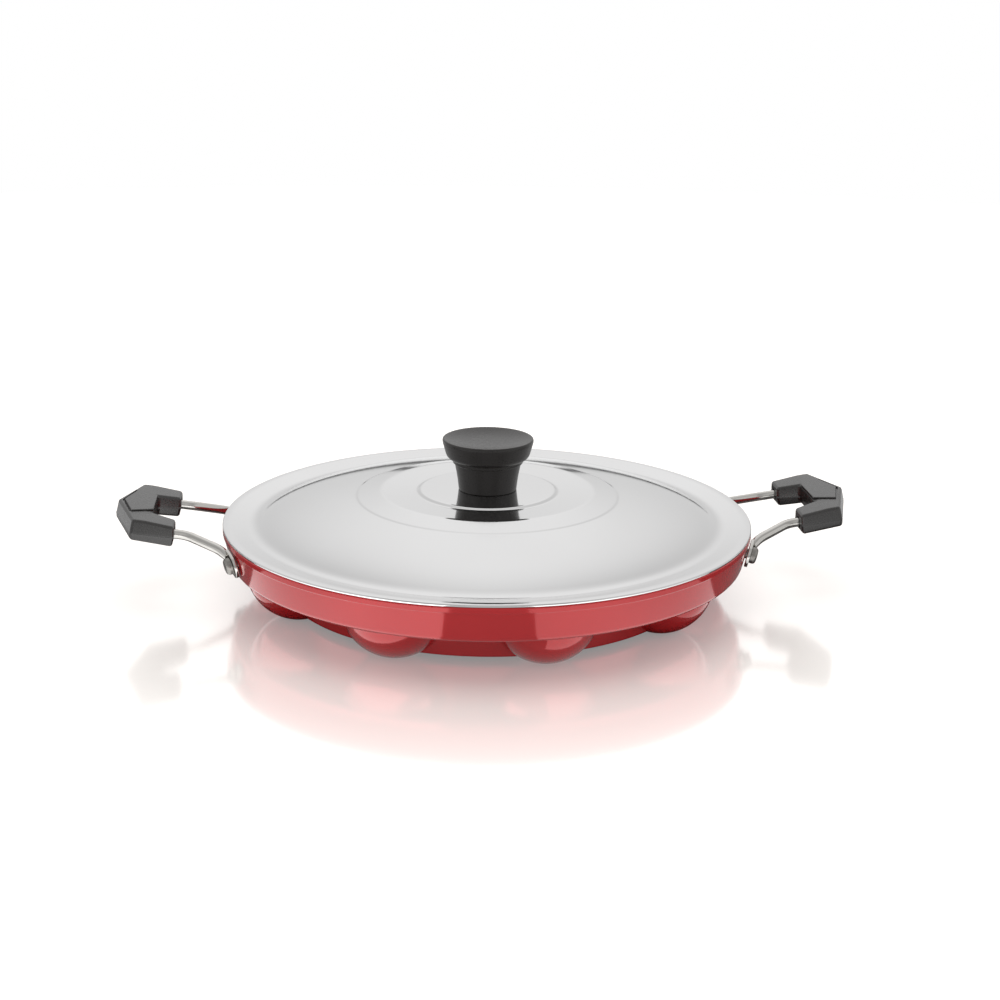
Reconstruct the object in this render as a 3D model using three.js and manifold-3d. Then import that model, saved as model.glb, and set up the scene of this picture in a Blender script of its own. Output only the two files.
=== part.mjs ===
// Two-handled pan with round cups sunk in its deck, and a stepped sheet lid with a knob.
// Millimetres, Z up. The pan stands on z = 0 and its two handles lie along X.
import * as THREE from 'three';
import { mergeVertices } from 'three/addons/utils/BufferGeometryUtils.js';
import Module from 'manifold-3d';

const wasm = await Module();
wasm.setup();

// Pan casting
const PAN_RADIUS = 115;
const PAN_HEIGHT = 32.5;
const WALL_BATTER = 3;
const CASTING = 3;
const DECK_UNDERSIDE = 17;
const RIM_BAND_HEIGHT = 2.5;
const RIM_BAND_STEP = 0.3;
const FOOT_ROUND = 2.5;

// Cups
const OUTER_CUPS = 9;
const INNER_CUPS = 3;
const CUP_EDGE_DISTANCE = 27.5;
const INNER_RING_RADIUS = 31;
const CUP_RADIUS = 19.5;
const CUP_WALL = 2.7;
const CUP_FOOT_CUT = 0.5;
const CUP_LIP = 1.5;
const RIB_THICKNESS = 3;
const RIB_GROUND_CLEARANCE = 2.2;

// Lid
const LID_SHEET = 0.9;
const HEM_THICKNESS = 1.2;
const HEM_WIDTH = 3;
const FLANGE_WIDTH = 13.6;
const VALLEY_DROP = 2.1;
const DOME_TOP_RADIUS = 57;
const DOME_RISE = 9.6;
const DOME_FOOT_SLOPE = 28;
const DOME_TOP_SLOPE = 8.5;
const BAND_TOP_RADIUS = 46.5;
const BAND_RISE = 2.3;
const PLATEAU_RADIUS = 31;
const ANNULUS_SAG = 0.6;
const PLATEAU_STEP = 0.9;
const PLATEAU_STEP_RUN = 2.6;

// Knob and its fastening
const KNOB_HEIGHT = 22.8;
const KNOB_TOP_RADIUS = 19.4;
const KNOB_STEM_RADIUS = 14.4;
const KNOB_BASE_RADIUS = 12.2;
const KNOB_STEM_SHARE = 0.52;
const KNOB_DISH = 2;
const KNOB_EDGE = 0.6;
const INSERT_RADIUS = 4;
const INSERT_LENGTH = 12;
const KNOB_SCREW_RADIUS = 2.5;
const KNOB_SCREW_REACH = 10;
const KNOB_SCREW_HEAD_RADIUS = 4.8;
const KNOB_SCREW_HEAD_HEIGHT = 3;
const WASHER_RADIUS = 7;
const WASHER_THICKNESS = 1;

// Handle wire, tabs and rivets
const WIRE_RADIUS = 2;
const WIRE_ABOVE_RIM = 2;
const RIVET_ANGLE = 17.5;
const RIVET_BELOW_RIM = 7.5;
const RIVET_RADIUS = 2.2;
const RIVET_HEAD_RADIUS = 3.6;
const RIVET_HEAD_HEIGHT = 2.7;
const RIVET_INNER_HEAD_HEIGHT = 1.2;
const TAB_WIDTH = 10.5;
const TAB_THICKNESS = 1.4;
const TAB_BEYOND_RIVET = 5.8;
const TAB_NECK = 7;
const TAB_SLANT = 55;

// Grips
const GRIP_REACH = 19;
const GRIP_LENGTH = 26.5;
const GRIP_NOTCH_DEPTH = 9.7;
const GRIP_HALF_WIDTH = 27.2;
const GRIP_ARM_WIDTH = 11.8;
const GRIP_ARM_TAPER = 3;
const GRIP_NOSE = 8.5;
const GRIP_DEPTH_BELOW_SEAM = 3.8;
const GRIP_HEIGHT_AT_END = 4.4;
const GRIP_HEIGHT_AT_MIDDLE = 7.6;
const GRIP_ROOF_RUN = 13;
const GRIP_DRAFT = 2.7;
const GRIP_DRAFT_HEIGHT = 9;
const GRIP_SEAM_BAND = 1;
const GRIP_PAD_STEP = 0.7;
const GRIP_PAD_MARGIN = 2.6;
const GRIP_SCREW_SPACING = 14;
const GRIP_SCREW_RADIUS = 1.25;
const GRIP_SCREW_HEAD_RADIUS = 2.2;
const GRIP_SCREW_HEAD_HEIGHT = 1.5;
const GRIP_SCREW_BITE = 5;

// Fits
const CLEARANCE = 0.3;
const CHANNEL_CLEARANCE = 0.6;

// Facets round a full turn
const RIM_SEGMENTS = 64;
const CUP_SEGMENTS = 20;
const KNOB_SEGMENTS = 32;
const SMALL_SEGMENTS = 12;
const WIRE_SEGMENTS = 10;

// Levels and radii that follow from the sizes above
const DECK_TOP = DECK_UNDERSIDE + CASTING;
const FOOT_RADIUS = PAN_RADIUS - RIM_BAND_STEP - WALL_BATTER;
const BAND_BOTTOM = PAN_HEIGHT - RIM_BAND_HEIGHT;
const BATTER_ANGLE = Math.atan(WALL_BATTER / (BAND_BOTTOM - DECK_UNDERSIDE));
const CUP_RING_RADIUS = PAN_RADIUS - CUP_EDGE_DISTANCE;
const CUP_OUTSIDE = CUP_RADIUS + CUP_WALL;
const CUP_CENTRE = CUP_OUTSIDE - CUP_FOOT_CUT;
const LID_EDGE = PAN_HEIGHT + HEM_THICKNESS;
const ANNULUS = LID_EDGE + DOME_RISE + BAND_RISE;
const PLATEAU = ANNULUS - ANNULUS_SAG + PLATEAU_STEP;
const WASHER_TOP = PLATEAU - LID_SHEET;
const KNOB_SCREW_SEAT = WASHER_TOP - WASHER_THICKNESS;
const RIVET_HEIGHT = PAN_HEIGHT - RIVET_BELOW_RIM;
const SEAM = PAN_HEIGHT + WIRE_ABOVE_RIM;
const GRIP_START = PAN_RADIUS + GRIP_REACH;
const GRIP_TIP = GRIP_START + GRIP_LENGTH;
const NOTCH_END = GRIP_START + GRIP_NOTCH_DEPTH;
const WIRE_BACK = NOTCH_END + WIRE_RADIUS + CHANNEL_CLEARANCE + 2.2;
const WIRE_HALF_SPACING = GRIP_HALF_WIDTH - GRIP_ARM_WIDTH / 2;
const SCREW_X = WIRE_BACK + WIRE_RADIUS + CHANNEL_CLEARANCE + GRIP_SCREW_HEAD_RADIUS + CLEARANCE;
const GRIP_BOTTOM = SEAM - GRIP_DEPTH_BELOW_SEAM;
const SCREW_HEAD_SEAT = GRIP_BOTTOM + GRIP_SCREW_HEAD_HEIGHT + CLEARANCE;
const TAB_GAP = (RIM_BAND_STEP + CLEARANCE) * Math.cos(BATTER_ANGLE);

const radians = THREE.MathUtils.degToRad;

// Closed body of a geometry, its doubled points joined and its empty triangles dropped.
function solid(geometry) {
  geometry.deleteAttribute('normal');
  geometry.deleteAttribute('uv');
  const joined = mergeVertices(geometry, 1e-4);
  const index = joined.index.array;
  const corners = [];
  for (let i = 0; i < index.length; i += 3) {
    const [a, b, c] = [index[i], index[i + 1], index[i + 2]];
    if (a !== b && b !== c && c !== a) {
      corners.push(a, b, c);
    }
  }
  return new wasm.Manifold(new wasm.Mesh({
    numProp: 3,
    vertProperties: new Float32Array(joined.attributes.position.array),
    triVerts: new Uint32Array(corners),
  }));
}

// Body turned about Z from a closed outline of [radius, height] pairs, listed anticlockwise.
function turned(outline, segments) {
  const points = outline.map(([radius, height]) => new THREE.Vector2(radius, height));
  const geometry = new THREE.LatheGeometry(points, segments);
  geometry.rotateX(Math.PI / 2);
  return geometry;
}

// Points of an arc about [radius, height], from one angle to another in degrees.
function arc([radius, height], size, from, to, steps) {
  return Array.from({ length: steps + 1 }, (_, i) => {
    const angle = radians(from + (to - from) * i / steps);
    return [radius + size * Math.cos(angle), height + size * Math.sin(angle)];
  });
}

// Upright prism over a plan of [x, y] pairs.
function prism(plan, bottom, top) {
  const shape = new THREE.Shape(plan.map(([x, y]) => new THREE.Vector2(x, y)));
  const geometry = new THREE.ExtrudeGeometry(shape, { depth: top - bottom, bevelEnabled: false });
  geometry.translate(0, 0, bottom);
  return geometry;
}

// Round rod that follows a curve.
function rod(path, radius, steps) {
  const shape = new THREE.Shape().absarc(0, 0, radius, 0, 2 * Math.PI);
  return new THREE.ExtrudeGeometry(shape, {
    steps,
    curveSegments: WIRE_SEGMENTS / 2,
    extrudePath: path,
    bevelEnabled: false,
  });
}

// Upright cylinder.
function post(x, y, radius, bottom, top, segments) {
  const geometry = turned([[0, bottom], [radius, bottom], [radius, top], [0, top]], segments);
  geometry.translate(x, y, 0);
  return geometry;
}

const group = new THREE.Group();
group.name = 'paniyaram_pan';

function addPart(name, body, finish) {
  const { vertProperties, triVerts } = body.getMesh();
  const geometry = new THREE.BufferGeometry();
  geometry.setAttribute('position', new THREE.BufferAttribute(new Float32Array(vertProperties), 3));
  geometry.setIndex(new THREE.BufferAttribute(new Uint32Array(triVerts), 1));
  geometry.computeVertexNormals();
  const mesh = new THREE.Mesh(geometry, new THREE.MeshStandardMaterial(finish));
  mesh.name = name;
  group.add(mesh);
}

const RED_ENAMEL = { name: 'red_enamel', color: 0xb3262b, roughness: 0.25, metalness: 0 };
const POLISHED_STEEL = { name: 'polished_steel', color: 0xd4d2cf, roughness: 0.12, metalness: 1 };
const BLACK_BAKELITE = { name: 'black_bakelite', color: 0x1f1d1c, roughness: 0.4, metalness: 0 };
const BRIGHT_WIRE = { name: 'bright_wire', color: 0xb9b7b4, roughness: 0.25, metalness: 1 };
const RIVET_ALUMINIUM = { name: 'rivet_aluminium', color: 0xa9a7a3, roughness: 0.4, metalness: 1 };
const BRASS = { name: 'brass', color: 0xb08d4a, roughness: 0.35, metalness: 1 };
const ZINC_STEEL = { name: 'zinc_steel', color: 0x9c9d9e, roughness: 0.35, metalness: 1 };

// Outer radius of the battered wall at a height.
function wallRadius(height) {
  return FOOT_RADIUS + (height - DECK_UNDERSIDE) * Math.tan(BATTER_ANGLE);
}

// Centres of the cups: one ring near the wall, one near the middle.
function cupCentres() {
  const rings = [
    { count: OUTER_CUPS, radius: CUP_RING_RADIUS, start: 0 },
    { count: INNER_CUPS, radius: INNER_RING_RADIUS, start: Math.PI / INNER_CUPS },
  ];
  return rings.flatMap(({ count, radius, start }) => Array.from({ length: count }, (_, i) => {
    const angle = start + 2 * Math.PI * i / count;
    return [radius * Math.cos(angle), radius * Math.sin(angle)];
  }));
}

// Ball-shaped lobe under the deck, cut flat at the ground.
function cupLobe() {
  const flat = -Math.asin(CUP_CENTRE / CUP_OUTSIDE);
  const top = Math.min(0, Math.asin((DECK_UNDERSIDE - CUP_CENTRE) / CUP_OUTSIDE));
  const side = arc([0, CUP_CENTRE], CUP_OUTSIDE, THREE.MathUtils.radToDeg(flat),
    THREE.MathUtils.radToDeg(top), 3);
  const shoulder = side.at(-1)[0];
  const cap = DECK_UNDERSIDE + CASTING / 2;
  return turned([[0, 0], ...side, [shoulder, cap], [0, cap]], CUP_SEGMENTS);
}

// Hollow of a cup: a ball below, a rounded lip where it meets the deck.
function cupHollow() {
  const lipStart = DECK_TOP - CUP_LIP;
  const level = Math.min(lipStart, CUP_CENTRE);
  const top = THREE.MathUtils.radToDeg(Math.asin((level - CUP_CENTRE) / CUP_RADIUS));
  const bowl = arc([0, CUP_CENTRE], CUP_RADIUS, -90, top, 4);
  bowl[0][0] = 0;
  const mouth = bowl.at(-1)[0];
  const lip = arc([mouth + CUP_LIP, lipStart], CUP_LIP, 180, 90, 2);
  const above = PAN_HEIGHT;
  return turned([...bowl, ...lip, [mouth + CUP_LIP, above], [0, above]], CUP_SEGMENTS);
}

// Axes of a rivet: across the wall face, up its slope, and out along its normal.
function rivetAxes(angle) {
  const out = new THREE.Vector3(Math.cos(angle), Math.sin(angle), 0);
  const up = new THREE.Vector3(0, 0, 1);
  const normal = out.clone().multiplyScalar(Math.cos(BATTER_ANGLE))
    .addScaledVector(up, -Math.sin(BATTER_ANGLE));
  const slope = out.clone().multiplyScalar(Math.sin(BATTER_ANGLE))
    .addScaledVector(up, Math.cos(BATTER_ANGLE));
  const across = new THREE.Vector3().crossVectors(slope, normal);
  const seat = out.clone().multiplyScalar(wallRadius(RIVET_HEIGHT));
  seat.z = RIVET_HEIGHT;
  return { across, slope, normal, seat };
}

// Axes of a wire's flattened end: the rivet's, slanted so that its neck points at the grip.
function tabAxes(side) {
  const axes = rivetAxes(side * rivetAngle);
  const slant = side * radians(TAB_SLANT);
  axes.slope.applyAxisAngle(axes.normal, slant);
  axes.across.applyAxisAngle(axes.normal, slant);
  return axes;
}

// Puts a piece drawn about Z onto the wall, its Z along the rivet.
function onWall(geometry, { across, slope, normal, seat }) {
  const matrix = new THREE.Matrix4().makeBasis(across, slope, normal).setPosition(seat);
  return geometry.applyMatrix4(matrix);
}

const rivetAngle = radians(RIVET_ANGLE);
const RIVET_ANGLES = [rivetAngle, -rivetAngle, Math.PI + rivetAngle, Math.PI - rivetAngle];

function panBody() {
  const inside = CASTING / Math.cos(BATTER_ANGLE);
  const shell = turned([
    [0, DECK_UNDERSIDE],
    ...arc([FOOT_RADIUS - FOOT_ROUND, DECK_UNDERSIDE + FOOT_ROUND], FOOT_ROUND, -90, -10, 4),
    [wallRadius(BAND_BOTTOM), BAND_BOTTOM],
    [PAN_RADIUS, BAND_BOTTOM + RIM_BAND_STEP / 2],
    [PAN_RADIUS, PAN_HEIGHT],
    [wallRadius(PAN_HEIGHT) - inside, PAN_HEIGHT],
    [wallRadius(DECK_TOP) - inside, DECK_TOP],
    [0, DECK_TOP],
  ], RIM_SEGMENTS);
  const rib = turned([
    [CUP_RING_RADIUS - RIB_THICKNESS / 2, RIB_GROUND_CLEARANCE],
    [CUP_RING_RADIUS + RIB_THICKNESS / 2, RIB_GROUND_CLEARANCE],
    [CUP_RING_RADIUS + RIB_THICKNESS / 2, DECK_UNDERSIDE + CASTING / 2],
    [CUP_RING_RADIUS - RIB_THICKNESS / 2, DECK_UNDERSIDE + CASTING / 2],
    [CUP_RING_RADIUS - RIB_THICKNESS / 2, RIB_GROUND_CLEARANCE],
  ], RIM_SEGMENTS);
  let body = solid(shell).add(solid(rib));
  for (const [x, y] of cupCentres()) {
    body = body.add(solid(cupLobe().translate(x, y, 0)));
  }
  for (const [x, y] of cupCentres()) {
    body = body.subtract(solid(cupHollow().translate(x, y, 0)));
  }
  for (const angle of RIVET_ANGLES) {
    const hole = post(0, 0, RIVET_RADIUS + CLEARANCE, -2 * CASTING, 2 * CASTING, SMALL_SEGMENTS);
    body = body.subtract(solid(onWall(hole, rivetAxes(angle))));
  }
  return body;
}

// Upper line of the lid from its hem to the middle, as [radius, height] pairs.
function lidLine() {
  const valley = new THREE.Vector2(PAN_RADIUS - FLANGE_WIDTH, LID_EDGE - VALLEY_DROP);
  const crest = new THREE.Vector2(DOME_TOP_RADIUS, LID_EDGE + DOME_RISE);
  const footSlope = Math.tan(radians(DOME_FOOT_SLOPE));
  const topSlope = Math.tan(radians(DOME_TOP_SLOPE));
  const knee = (crest.y - valley.y + topSlope * crest.x - footSlope * valley.x) / (topSlope - footSlope);
  const pull = new THREE.Vector2(knee, crest.y - topSlope * (knee - crest.x));
  const dome = new THREE.QuadraticBezierCurve(valley, pull, crest).getPoints(4);
  return [
    [PAN_RADIUS - HEM_WIDTH, LID_EDGE],
    ...dome.map((point) => [point.x, point.y]),
    [BAND_TOP_RADIUS, ANNULUS],
    [PLATEAU_RADIUS + PLATEAU_STEP_RUN, ANNULUS - ANNULUS_SAG],
    [PLATEAU_RADIUS, PLATEAU],
  ];
}

function lid() {
  const top = lidLine();
  const underside = top.slice(1).map(([radius, height]) => [radius, height - LID_SHEET]);
  const hole = KNOB_SCREW_RADIUS + CLEARANCE;
  const round = HEM_THICKNESS / 4;
  const outline = [
    [hole, PLATEAU - LID_SHEET],
    ...underside.reverse(),
    [PAN_RADIUS - HEM_WIDTH, PAN_HEIGHT],
    [PAN_RADIUS, PAN_HEIGHT],
    [PAN_RADIUS, LID_EDGE - round],
    [PAN_RADIUS - round, LID_EDGE],
    ...top,
    [hole, PLATEAU],
    [hole, PLATEAU - LID_SHEET],
  ];
  return solid(turned(outline, RIM_SEGMENTS));
}

function lidKnob() {
  const stem = KNOB_HEIGHT * KNOB_STEM_SHARE;
  const collar = stem - 1.6;
  const bore = INSERT_RADIUS + CLEARANCE;
  const flare = KNOB_STEM_RADIUS - KNOB_BASE_RADIUS;
  const capFoot = KNOB_TOP_RADIUS - 1.3;
  const overhang = capFoot - KNOB_STEM_RADIUS;
  const rim = KNOB_TOP_RADIUS - 2 * KNOB_EDGE;
  const line = [
    [0, INSERT_LENGTH + CLEARANCE],
    [bore, INSERT_LENGTH + CLEARANCE],
    [bore, 0],
    [KNOB_BASE_RADIUS - KNOB_EDGE, 0],
    [KNOB_BASE_RADIUS, KNOB_EDGE],
    [KNOB_BASE_RADIUS + 0.25 * flare, collar / 2],
    [KNOB_BASE_RADIUS + 0.7 * flare, collar],
    [KNOB_STEM_RADIUS, collar + KNOB_EDGE / 2],
    [KNOB_STEM_RADIUS, stem],
    [KNOB_STEM_RADIUS + 0.6 * overhang, stem + 0.3 * overhang],
    [KNOB_STEM_RADIUS + 0.9 * overhang, stem + 0.7 * overhang],
    [capFoot, stem + 1.1 * overhang],
    [KNOB_TOP_RADIUS, KNOB_HEIGHT - 2 * KNOB_EDGE],
    [KNOB_TOP_RADIUS - 0.3 * KNOB_EDGE, KNOB_HEIGHT - 0.8 * KNOB_EDGE],
    [KNOB_TOP_RADIUS - KNOB_EDGE, KNOB_HEIGHT],
    [rim, KNOB_HEIGHT],
    [0.75 * rim, KNOB_HEIGHT - 0.55 * KNOB_DISH],
    [0.4 * rim, KNOB_HEIGHT - 0.92 * KNOB_DISH],
    [0, KNOB_HEIGHT - KNOB_DISH],
  ];
  return solid(turned(line, KNOB_SEGMENTS).translate(0, 0, PLATEAU));
}

// Flat ring lying on a level.
function ring(inner, outer, bottom, top, segments) {
  const outline = [[inner, bottom], [outer, bottom], [outer, top], [inner, top], [inner, bottom]];
  return solid(turned(outline, segments));
}

// Cross-shaped recess cut into a screw head from below.
function crossRecess(x, y, span, width, bottom, depth) {
  const bar = (a, b) => [[x - a, y - b], [x + a, y - b], [x + a, y + b], [x - a, y + b]];
  const one = solid(prism(bar(span, width), bottom - depth, bottom + depth));
  const other = solid(prism(bar(width, span), bottom - depth, bottom + depth));
  return one.add(other);
}

// Screw driven upward, its head below the seat and its shank above.
function screw(x, y, { headRadius, headHeight, radius, seat, tip }) {
  const bottom = seat - headHeight;
  const chamfer = headHeight / 3;
  const line = [
    [0, bottom],
    [headRadius - chamfer, bottom],
    [headRadius, bottom + chamfer],
    [headRadius, seat],
    [radius, seat],
    [radius, tip - radius / 2],
    [radius / 2, tip],
    [0, tip],
  ];
  const body = solid(turned(line, SMALL_SEGMENTS).translate(x, y, 0));
  const recess = crossRecess(x, y, 0.55 * headRadius, 0.13 * headRadius, bottom, headHeight / 2);
  return body.subtract(recess);
}

// Wire centre line inside one grip, from one arm end to the other.
function gripWirePath(out) {
  const corner = WIRE_HALF_SPACING * 0.4;
  const arm = [GRIP_START - out, WIRE_HALF_SPACING];
  const point = (x, y) => new THREE.Vector3(x, y, SEAM);
  const path = new THREE.CurvePath();
  const near = [point(arm[0], -arm[1]), point(WIRE_BACK - corner, -arm[1]),
    point(WIRE_BACK, -arm[1]), point(WIRE_BACK, corner - arm[1])];
  const far = near.map((place) => point(place.x, -place.y)).reverse();
  path.add(new THREE.LineCurve3(near[0], near[1]));
  path.add(new THREE.QuadraticBezierCurve3(near[1], near[2], near[3]));
  path.add(new THREE.LineCurve3(near[3], far[0]));
  path.add(new THREE.QuadraticBezierCurve3(far[0], far[1], far[2]));
  path.add(new THREE.LineCurve3(far[2], far[3]));
  return path;
}

// Wire from a grip's arm end to its tab on the wall, on the side that the sign names.
function wireLeg(side) {
  const { slope, normal, seat } = tabAxes(side);
  const lift = TAB_GAP + WIRE_RADIUS;
  const onTab = (up) => seat.clone().addScaledVector(normal, lift).addScaledVector(slope, up);
  const end = onTab(RIVET_HEAD_RADIUS + CLEARANCE);
  const bendEnd = onTab(TAB_NECK - WIRE_RADIUS);
  const exit = new THREE.Vector3(GRIP_START - 2, side * WIRE_HALF_SPACING, SEAM);
  const knee = onTab(TAB_NECK + WIRE_RADIUS / 2);
  const turn = exit.clone().setX(GRIP_START - 5);
  const heading = knee.clone().sub(turn).normalize();
  const path = new THREE.CurvePath();
  path.add(new THREE.LineCurve3(end, bendEnd));
  const bendStart = knee.clone().addScaledVector(heading, -2.2 * WIRE_RADIUS);
  const splay = turn.clone().addScaledVector(heading, 3);
  path.add(new THREE.QuadraticBezierCurve3(bendEnd, knee, bendStart));
  path.add(new THREE.LineCurve3(bendStart, splay));
  path.add(new THREE.QuadraticBezierCurve3(splay, turn, exit));
  return path;
}

// The whole wire, tab to tab.
function wirePath() {
  const path = new THREE.CurvePath();
  const loop = gripWirePath(2);
  wireLeg(-1).curves.forEach((curve) => path.add(curve));
  loop.curves.forEach((curve) => path.add(curve));
  const back = wireLeg(1).curves.map((curve) => {
    if (curve.isLineCurve3) {
      return new THREE.LineCurve3(curve.v2, curve.v1);
    }
    return new THREE.QuadraticBezierCurve3(curve.v2, curve.v1, curve.v0);
  });
  back.reverse().forEach((curve) => path.add(curve));
  return path;
}

// Flattened end of the wire, holed for its rivet and lying along the wall.
function tab(side) {
  const half = TAB_WIDTH / 2;
  const shape = new THREE.Shape();
  shape.moveTo(half, half - TAB_BEYOND_RIVET);
  shape.lineTo(0.8 * half, TAB_NECK / 2);
  shape.lineTo(WIRE_RADIUS, TAB_NECK);
  shape.lineTo(-WIRE_RADIUS, TAB_NECK);
  shape.lineTo(-0.8 * half, TAB_NECK / 2);
  shape.lineTo(-half, half - TAB_BEYOND_RIVET);
  shape.absarc(0, half - TAB_BEYOND_RIVET, half, Math.PI, 2 * Math.PI, false);
  const hole = new THREE.Path().absarc(0, 0, RIVET_RADIUS + CLEARANCE, 0, 2 * Math.PI, true);
  shape.holes.push(hole);
  const geometry = new THREE.ExtrudeGeometry(shape, {
    depth: TAB_THICKNESS,
    curveSegments: SMALL_SEGMENTS / 2,
    bevelEnabled: false,
  });
  geometry.translate(0, 0, TAB_GAP);
  return solid(onWall(geometry, tabAxes(side)));
}

function handleWire() {
  return solid(rod(wirePath(), WIRE_RADIUS, 44)).add(tab(1)).add(tab(-1));
}

// Rivet through tab and wall, a tall head outside and a low one inside.
function rivet(angle) {
  const outer = TAB_GAP + TAB_THICKNESS + CLEARANCE / 2;
  const inner = -CASTING - CLEARANCE;
  const head = RIVET_HEAD_RADIUS;
  const crown = outer + RIVET_HEAD_HEIGHT;
  const line = [
    [0, inner - RIVET_INNER_HEAD_HEIGHT],
    [0.6 * head, inner - RIVET_INNER_HEAD_HEIGHT],
    [head, inner - RIVET_INNER_HEAD_HEIGHT / 4],
    [head, inner],
    [RIVET_RADIUS, inner],
    [RIVET_RADIUS, outer],
    [head, outer],
    [head, crown - 0.4 * RIVET_HEAD_HEIGHT],
    [0.85 * head, crown - 0.12 * RIVET_HEAD_HEIGHT],
    [0.5 * head, crown],
    [0, crown],
  ];
  return solid(onWall(turned(line, SMALL_SEGMENTS), rivetAxes(angle)));
}

// Plan of a grip at its seam: a blunt horseshoe with a pointed nose.
function gripPlan() {
  const inner = GRIP_HALF_WIDTH - GRIP_ARM_WIDTH;
  const half = [
    [GRIP_START, inner],
    [GRIP_START, GRIP_HALF_WIDTH],
    [GRIP_TIP - GRIP_NOSE, GRIP_HALF_WIDTH],
    [GRIP_TIP, 0],
  ];
  const notch = [NOTCH_END, inner - GRIP_ARM_TAPER];
  const far = half.slice(0, 3).map(([x, y]) => [x, -y]).reverse();
  return [notch, ...half, ...far, [notch[0], -notch[1]]].reverse();
}

// Raised flat on the middle of a grip, as a plan.
function padPlan() {
  const inset = GRIP_DRAFT * GRIP_HEIGHT_AT_MIDDLE / GRIP_DRAFT_HEIGHT;
  const inner = NOTCH_END + inset;
  const tip = GRIP_TIP - inset - GRIP_PAD_MARGIN;
  const shoulder = tip - GRIP_NOSE / 2;
  const half = GRIP_HALF_WIDTH / 2;
  return [[inner, -0.75 * half], [shoulder, -1.1 * half], [tip, 0], [shoulder, 1.1 * half],
    [inner, 0.75 * half]];
}

// Grip blank: sides drafted both ways from the seam.
function gripBlank() {
  const shape = new THREE.Shape(gripPlan().map(([x, y]) => new THREE.Vector2(x, y)));
  const geometry = new THREE.ExtrudeGeometry(shape, {
    depth: GRIP_SEAM_BAND,
    bevelThickness: GRIP_DRAFT_HEIGHT,
    bevelSize: GRIP_DRAFT,
    bevelOffset: -GRIP_DRAFT,
    bevelSegments: 1,
  });
  geometry.translate(0, 0, SEAM - GRIP_SEAM_BAND / 2);
  return solid(geometry);
}

// Block as wide as the grip, its side outline given as [x, z] pairs.
function sideBlock(outline) {
  const wide = 4 * GRIP_HALF_WIDTH;
  const geometry = prism(outline, 0, wide);
  geometry.rotateX(Math.PI / 2);
  geometry.translate(0, wide / 2, 0);
  return solid(geometry);
}

const SCREW_SIDES = [-GRIP_SCREW_SPACING / 2, GRIP_SCREW_SPACING / 2];
const SCREW_TIP = SEAM + GRIP_SCREW_BITE;

function gripUpper() {
  const roofStart = GRIP_START - GRIP_ROOF_RUN;
  const slope = (GRIP_HEIGHT_AT_MIDDLE - GRIP_HEIGHT_AT_END) / GRIP_ROOF_RUN;
  const middle = SEAM + GRIP_HEIGHT_AT_MIDDLE;
  const roof = sideBlock([
    [roofStart, SEAM],
    [GRIP_TIP + 1, SEAM],
    [GRIP_TIP + 1, middle],
    [GRIP_START + GRIP_ROOF_RUN, middle],
    [roofStart, SEAM + GRIP_HEIGHT_AT_END - slope * GRIP_ROOF_RUN],
  ]);
  const pad = solid(prism(padPlan(), middle - 1, middle + GRIP_PAD_STEP));
  let body = gripBlank().intersect(roof).add(pad);
  body = body.subtract(solid(rod(gripWirePath(3), WIRE_RADIUS + CHANNEL_CLEARANCE, 20)));
  for (const y of SCREW_SIDES) {
    const bore = post(SCREW_X, y, GRIP_SCREW_RADIUS + CLEARANCE, SEAM - 1, SCREW_TIP + CLEARANCE,
      SMALL_SEGMENTS);
    body = body.subtract(solid(bore));
  }
  return body;
}

function gripLower() {
  const floor = sideBlock([
    [GRIP_START - 1, GRIP_BOTTOM],
    [GRIP_TIP + 1, GRIP_BOTTOM],
    [GRIP_TIP + 1, SEAM],
    [GRIP_START - 1, SEAM],
  ]);
  let body = gripBlank().intersect(floor);
  body = body.subtract(solid(rod(gripWirePath(3), WIRE_RADIUS + CHANNEL_CLEARANCE, 20)));
  for (const y of SCREW_SIDES) {
    const bore = post(SCREW_X, y, GRIP_SCREW_RADIUS + CLEARANCE, GRIP_BOTTOM - 1, SEAM + 1,
      SMALL_SEGMENTS);
    const sink = post(SCREW_X, y, GRIP_SCREW_HEAD_RADIUS + CLEARANCE, GRIP_BOTTOM - 1,
      SCREW_HEAD_SEAT, SMALL_SEGMENTS);
    body = body.subtract(solid(bore)).subtract(solid(sink));
  }
  return body;
}

function gripScrew(y) {
  return screw(SCREW_X, y, {
    headRadius: GRIP_SCREW_HEAD_RADIUS,
    headHeight: GRIP_SCREW_HEAD_HEIGHT,
    radius: GRIP_SCREW_RADIUS,
    seat: SCREW_HEAD_SEAT,
    tip: SCREW_TIP,
  });
}

addPart('pan_body', panBody(), RED_ENAMEL);
addPart('lid', lid(), POLISHED_STEEL);
addPart('lid_knob', lidKnob(), BLACK_BAKELITE);
addPart('knob_insert',
  ring(KNOB_SCREW_RADIUS + CLEARANCE, INSERT_RADIUS, PLATEAU, PLATEAU + INSERT_LENGTH, SMALL_SEGMENTS),
  BRASS);
addPart('knob_screw', screw(0, 0, {
  headRadius: KNOB_SCREW_HEAD_RADIUS,
  headHeight: KNOB_SCREW_HEAD_HEIGHT,
  radius: KNOB_SCREW_RADIUS,
  seat: KNOB_SCREW_SEAT,
  tip: PLATEAU + KNOB_SCREW_REACH,
}), ZINC_STEEL);
addPart('knob_washer',
  ring(KNOB_SCREW_RADIUS + CLEARANCE, WASHER_RADIUS, KNOB_SCREW_SEAT, WASHER_TOP, KNOB_SEGMENTS),
  ZINC_STEEL);

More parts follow.
